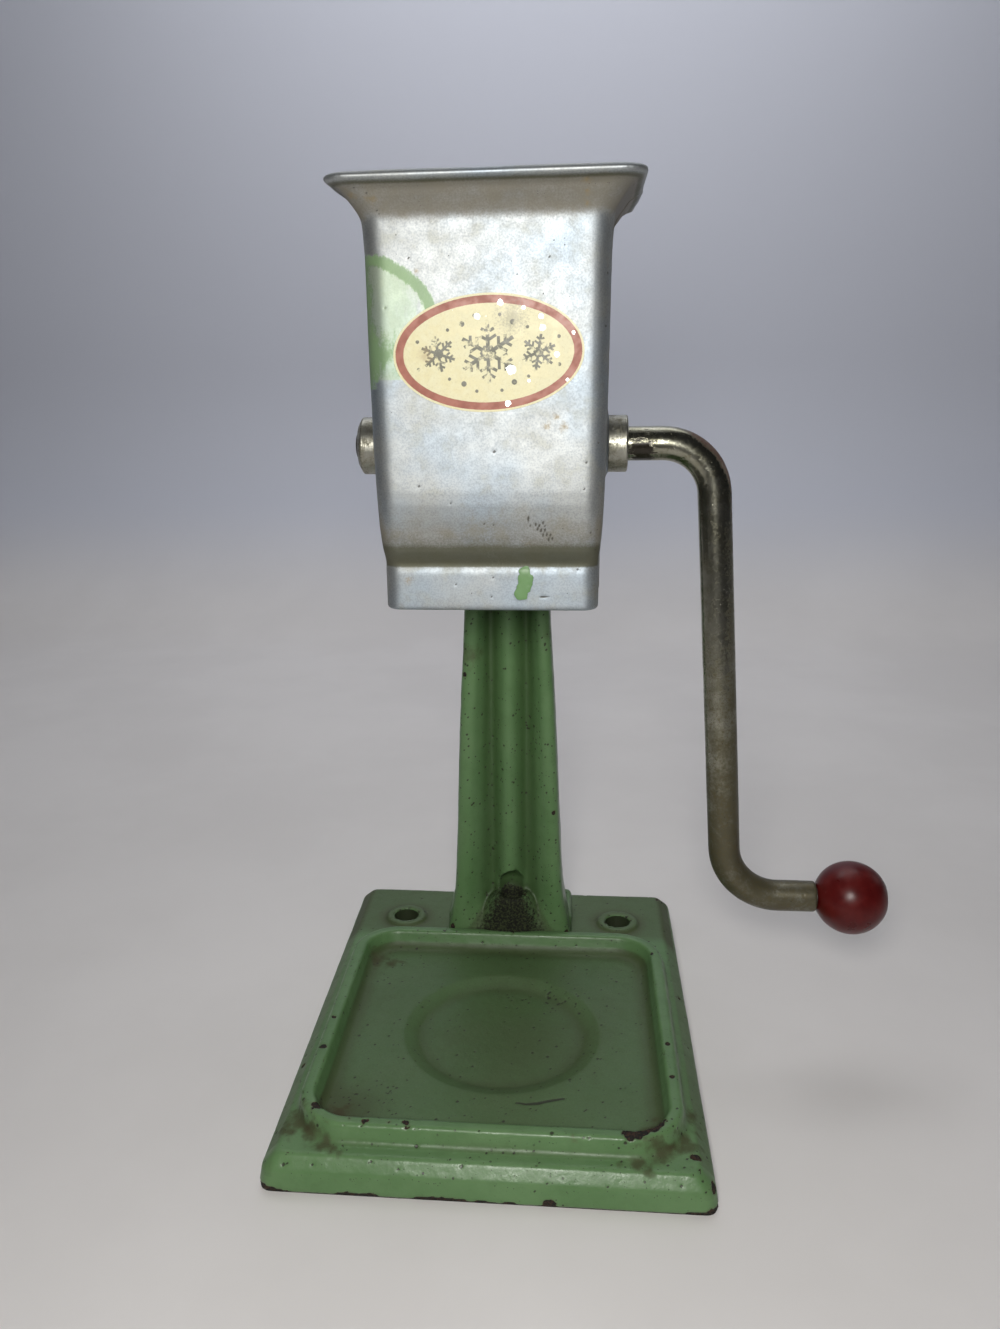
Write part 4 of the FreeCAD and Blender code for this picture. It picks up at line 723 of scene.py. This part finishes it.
def build_shell(node, name, front):
    s = Skin(node, name, 0.56, 3)
    p = s.co.copy()
    x, y, z = p.T
    no = s.no
    hollow = s.curvature(6)
    wide = s.blur(hollow, 30)
    out = (no[:, 1] < -0.3) if front else (no[:, 1] > 0.3)
    # the label and the faces that others bed on stay flat
    flat = np.ones(s.n)
    if front:
        flat = sstep(np.hypot((x - 0.5) / 31.0, (z - 254.3) / 20.0), 0.92, 1.15)
        flat = np.where(y > -38, 1.0, flat)
    else:
        flat = np.where((np.abs(x) < 25) & (z > 205) & (z < 263) & (y > 30), 0.0, 1.0)
    seam = sstep(np.abs(y + 2.0), 0.25, 1.6)
    bore = sstep(np.hypot(y + 2.0, z - 225.2), 9.6, 12.0)
    calm = flat * seam * bore
    s.push(((fbm(p, 20, 2, 203) - 0.5) * 0.34 + (fbm(p, 4.5, 2, 209) - 0.5) * 0.07) * calm)
    crest = -s.blur(s.curvature(2), 2)
    pit = scatter(s, 90 if front else 140, 0.5, 0.95, 24, calm > 0.9)
    slope = sstep(z, 188.8, 192.0) * sstep(214 - z, 0, 14)
    low = sstep(z, 189.4, 190.6) * sstep(198.5 - z, 0, 4.5) + 0.35 * sstep(z, 190, 191) * sstep(206 - z, 0, 9)
    flare = sstep(z, 290.2, 294.0) * sstep(300.6 - z, 0, 0.6)
    # painted shade: dark crease under the rim's bead
    crease = np.exp(-((z - 300.2) / 0.55) ** 2) * (np.hypot(x, y) > 38)
    inner = (z < 302.4) & (((no[:, 1] > 0.2) & (y < -2)) if front else ((no[:, 1] < -0.2) & (y > -2)))
    # grime, with painted shade under the flare and in hollows
    grime_and_shade = 0.20 + 0.62 * flare + np.clip(wide * 16, 0, 0.5) + 0.25 * (fbm(p, 18, 3, 261) - 0.5)
    band = 0.75 * crease * (1 - inner)
    if front:
        # painted shade on the down-facing slope; the flat front face and the lip get less, so they read lighter
        grime_and_shade += 0.35 * slope * out + 0.12 * sstep(fbm(p, 7, 3, 275), 0.55, 0.75) * out * (z < 189)
        grime_and_shade -= 0.30 * sstep(z, 213, 222) * sstep(291 - z, 0, 5) * out
        grime_and_shade -= 0.10 * (z < 188.5) * out
        # painted shade: dark band in the concave fold above the lip
        band = band + low * out * (y > -39.2)
    else:
        grime_and_shade += 0.20 * out + 0.2 * slope
    # painted shade: darker inside the hopper and on the faces turned to either side
    grime_and_shade += 0.30 * inner + 0.30 * sstep(np.abs(no[:, 0]), 0.45, 0.8)
    grime_and_shade -= 0.25 * (z > 300.8)
    s.put("grime_and_shade", grime_and_shade)
    s.put("band", np.clip(band, 0, 1))
    wash = np.full(s.n, -1.0)
    paint = np.full(s.n, -1.0)
    drop = np.full(s.n, -1.0)
    cut = np.zeros(s.n)
    brown = np.full(s.n, -1.0)
    if front:
        # a brushed arc of green paint beside the label, thick along its upper edge
        ax, az = -33.5, 262.5
        r = np.hypot(x - ax, z - az)
        rad = 18.7 + 0.5 * np.sin(np.arctan2(z - az, x - ax) * 5)
        arc = np.where((z > 266.5) & (y < -30), 1.3 - np.abs(r - rad + 1.2) / 2.0, -1)
        wash = np.where((r < rad) & (z > 247), 0.95 - 0.45 * sstep(x, -30, -18), -1)
        lower = np.where((x < -23.5) & (z > 246.5) & (z < 262.5), 1.05 - 0.055 * np.abs(z - 254.5) - 0.055 * (x + 35), -1)
        edge = np.where((x < -31.5) & (z > 244) & (z < 281.0), 0.90 - 0.20 * (x + 35.5), -1)
        paint = np.maximum(arc, np.maximum(lower, edge))
        paint = np.where(y < -14, paint, -1)
        wash = np.where(y < -14, wash, -1)
        drop = spots(p, [(10.9, -34.5, 188.6, 1.9), (10.9, -34.5, 186.2, 2.4), (10.2, -34.5, 183.6, 2.2), (9.5, -34.5, 181.4, 2.0)], 0.35, 1.6, 221)
        drop = np.where(y < -28, drop, -1)
        for x0, z0, x1, z1 in ((11.9, 206.5, 12.5, 203.5), (13.9, 205.0, 15.2, 201.6), (15.4, 203.8, 16.6, 200.3), (17.0, 202.5, 18.4, 198.6), (18.6, 201.0, 19.6, 198.9),
                               (16.2, 205.2, 17.0, 203.4), (15.6, 180.5, 19.0, 180.9)):
            d = np.array([x1 - x0, z1 - z0])
            L = (d ** 2).sum()
            t = np.clip(((x - x0) * d[0] + (z - z0) * d[1]) / L, 0, 1)
            cut = np.maximum(cut, np.where(out & (y < -30), np.clip(1 - np.hypot(x - x0 - t * d[0], z - z0 - t * d[1]) / 0.36, 0, 1) * 0.75, 0))
        brown = spots(p, [(28.3, -46.0, 299.2, 2.4), (28.6, -43.5, 296.8, 2.4), (28.7, -41.5, 294.0, 2.0), (17.4, -40, 233.4, 2.2), (22.6, -40, 233.0, 2.6), (20.5, -40, 236.0, 1.8),
                          (-38, -43, 296, 3.4), (-31, -43, 296.5, 3.0), (-26.0, -34.5, 186.0, 3.0), (-20, -40, 277.5, 1.6), (12, -36, 198, 3)], 0.5, 2.4, 231) * 0.70
    else:
        brown = spots(p, [(28, 45, 296, 5), (-25, 30, 208, 6), (30, 36, 226, 5), (-8, 37.5, 262, 4)], 0.5, 3.0, 231) * 0.7
    s.push(-0.16 * sstep(pit, 0.1, 0.8) - 0.10 * sstep(cut, 0.1, 0.7) + 0.16 * sstep(drop, 0.0, 0.3))
    s.put("paint", np.clip(paint, -1, 1))
    s.put("drop", np.clip(drop, -1, 1))
    s.put("wash", np.clip(wash, -1, 1))
    s.put("cut", cut)
    s.put("pit", pit)
    s.put("brown", np.clip(brown, -1, 1))
    return s.done("frame", ALLOY)


def build_rod():
    s = Skin("crank_rod", "crank_skin", 0.42, 3)
    p = s.co.copy()
    x, y, z = p.T
    outside = (x > 45)
    pit = scatter(s, 260, 0.45, 0.85, 34, outside)
    run = np.where(x < 44, 0.0, 1.0)
    s.push(((fbm(p, 9, 2, 303) - 0.5) * 0.10 - 0.10 * sstep(pit, 0.2, 0.8)) * run)
    low = sstep(190 - z, 0, 110)
    # tarnish with painted shade: darker on faces turned right and darker lower down, lighter on the upper faces turned
    # forward
    s.put("tarnish_and_shade", 0.18 + 0.70 * low + 0.22 * sstep(s.no[:, 0], 0.2, 0.8) - 0.2 * (z > 200) * (s.no[:, 1] < -0.4) + 0.8 * (x < -44.9))
    s.put("rusty", 0.9 * sstep(x, 56, 66) * (z > 195) * sstep(s.no[:, 0] + s.no[:, 2], 0.55, 1.25) - 0.1)
    # dark wear by the right boss, with painted shade on its undersides; the rod's left end is black
    s.put("black", 1.2 * (x < -45.0) + np.clip(1.0 - np.abs(x - 47.5) / 8.5, 0, 1) * (z > 210) * (0.35 + 0.65 * sstep(-s.no[:, 2], -0.9, 0.5)))
    s.put("pit", pit)
    return s.done("crank", CRANK)


def build_knob():
    s = Skin("knob_ball", "knob_skin", 0.38, 5)
    p = s.co.copy()
    s.push((fbm(p, 11, 2, 403) - 0.5) * 0.10 * sstep(np.hypot(p[:, 1] + 2, p[:, 2] - 62.8), 5.4, 8.0))
    return s.done("knob", KNOB)


build_base()
build_column()
build_shell("hopper_front_shell", "shell_front_skin", True)
build_shell("hopper_rear_shell", "shell_rear_skin", False)
build_rod()
build_knob()

FINISH = {"bearing_bush_left": BUSH, "bearing_bush_right": BUSH, "oval_label": LABEL, "rotor_casting": IRON, "breaker_comb": IRON}
for name, ob in NODES.items():
    if ob.hide_render:
        continue
    mat = FINISH.get(name, STEEL)
    if not ob.data.materials:
        ob.data.materials.append(mat)
    for i in range(len(ob.data.materials)):
        ob.data.materials[i] = mat

# ---------------------------------------------------------------- stage
def sheet(name, x0, x1, prof, mat):
    """A wide backdrop: the profile (y, z) run along X."""
    bm = bmesh.new()
    a = [bm.verts.new((x0, y, z)) for y, z in prof]
    b = [bm.verts.new((x1, y, z)) for y, z in prof]
    for i in range(len(prof) - 1):
        f = bm.faces.new((a[i], b[i], b[i + 1], a[i + 1]))
        f.smooth = True
    me = bpy.data.meshes.new(name)
    bm.to_mesh(me)
    bm.free()
    me.materials.append(mat)
    ob = bpy.data.objects.new(name, me)
    scene.collection.objects.link(ob)
    return ob


prof = [(-3.0, -0.0004), (0.55, -0.0004)]
for k in range(1, 13):
    a = math.radians(90 * k / 12)
    prof.append((0.55 + 0.25 * math.sin(a), -0.0004 + 0.25 * (1 - math.cos(a))))
prof.append((0.80, 3.0))
sheet("stage_sweep", -3.0, 3.0, prof, look_stage("stage_pale", (0.74, 0.715, 0.70), (0.78, 0.755, 0.74)))

# ---------------------------------------------------------------- camera
f_px, cx, cy = 1076.26, 469.01, 662.94
W, H = 1000.0, 1329.0
yaw, pitch, roll = math.radians(-5.58), math.radians(15.78), math.radians(-0.97)
fwd = Vector((math.sin(yaw) * math.cos(pitch), math.cos(yaw) * math.cos(pitch), -math.sin(pitch)))
right = Vector((math.cos(yaw), -math.sin(yaw), 0.0))
upv = right.cross(fwd)
c, sn = math.cos(roll), math.sin(roll)
r2, u2 = right * c + upv * sn, upv * c - right * sn
cam_data = bpy.data.cameras.new("camera")
cam = bpy.data.objects.new("camera", cam_data)
scene.collection.objects.link(cam)
m = Matrix((r2, u2, -fwd)).transposed().to_4x4()
m.translation = Vector((0.02512, -0.36521, 0.25282))
cam.matrix_world = m
cam_data.sensor_fit = "AUTO"
cam_data.sensor_width = 36.0
cam_data.lens = f_px * 36.0 / H
cam_data.shift_x = (W / 2 - cx) / H
cam_data.shift_y = -(H / 2 - cy) / H
cam_data.clip_start, cam_data.clip_end = 0.01, 20.0
scene.camera = cam


# ---------------------------------------------------------------- lights
def area(name, loc, target, size, power, color=(1, 1, 1)):
    d = bpy.data.lights.new(name, "AREA")
    d.shape = "DISK"
    d.size = size
    d.energy = power
    d.color = color
    o = bpy.data.objects.new(name, d)
    scene.collection.objects.link(o)
    o.location = loc
    o.visible_camera = False
    o.rotation_mode = "QUATERNION"
    o.rotation_quaternion = (Vector(target) - Vector(loc)).to_track_quat("-Z", "Y")
    return o


area("key_soft", (0.010, -0.40, 0.300), (0.006, 0.0, 0.13), 0.10, 1.42, (1.0, 0.985, 0.95))
area("top_soft", (0.0, 0.30, 1.3), (0.0, 0.1, 0.1), 0.9, 1.0, (0.95, 0.96, 1.0))
area("rear_left_soft", (-1.1, 0.70, 0.7), (0.0, 0.0, 0.15), 0.6, 0.9, (0.95, 0.97, 1.0))
area("rear_right_soft", (1.2, 0.70, 0.6), (0.0, 0.0, 0.15), 0.6, 0.4, (1.0, 0.98, 0.95))
area("wall_soft", (0.0, 0.42, 0.85), (0.0, 0.82, 0.30), 0.8, 3.0, (0.97, 0.98, 1.0))
world = bpy.data.worlds.new("studio")
scene.world = world
world.use_nodes = True
world.node_tree.nodes["Background"].inputs[0].default_value = (0.80, 0.82, 0.90, 1)
world.node_tree.nodes["Background"].inputs[1].default_value = 0.04
scene.view_settings.view_transform = "Standard"
scene.view_settings.look = "None"
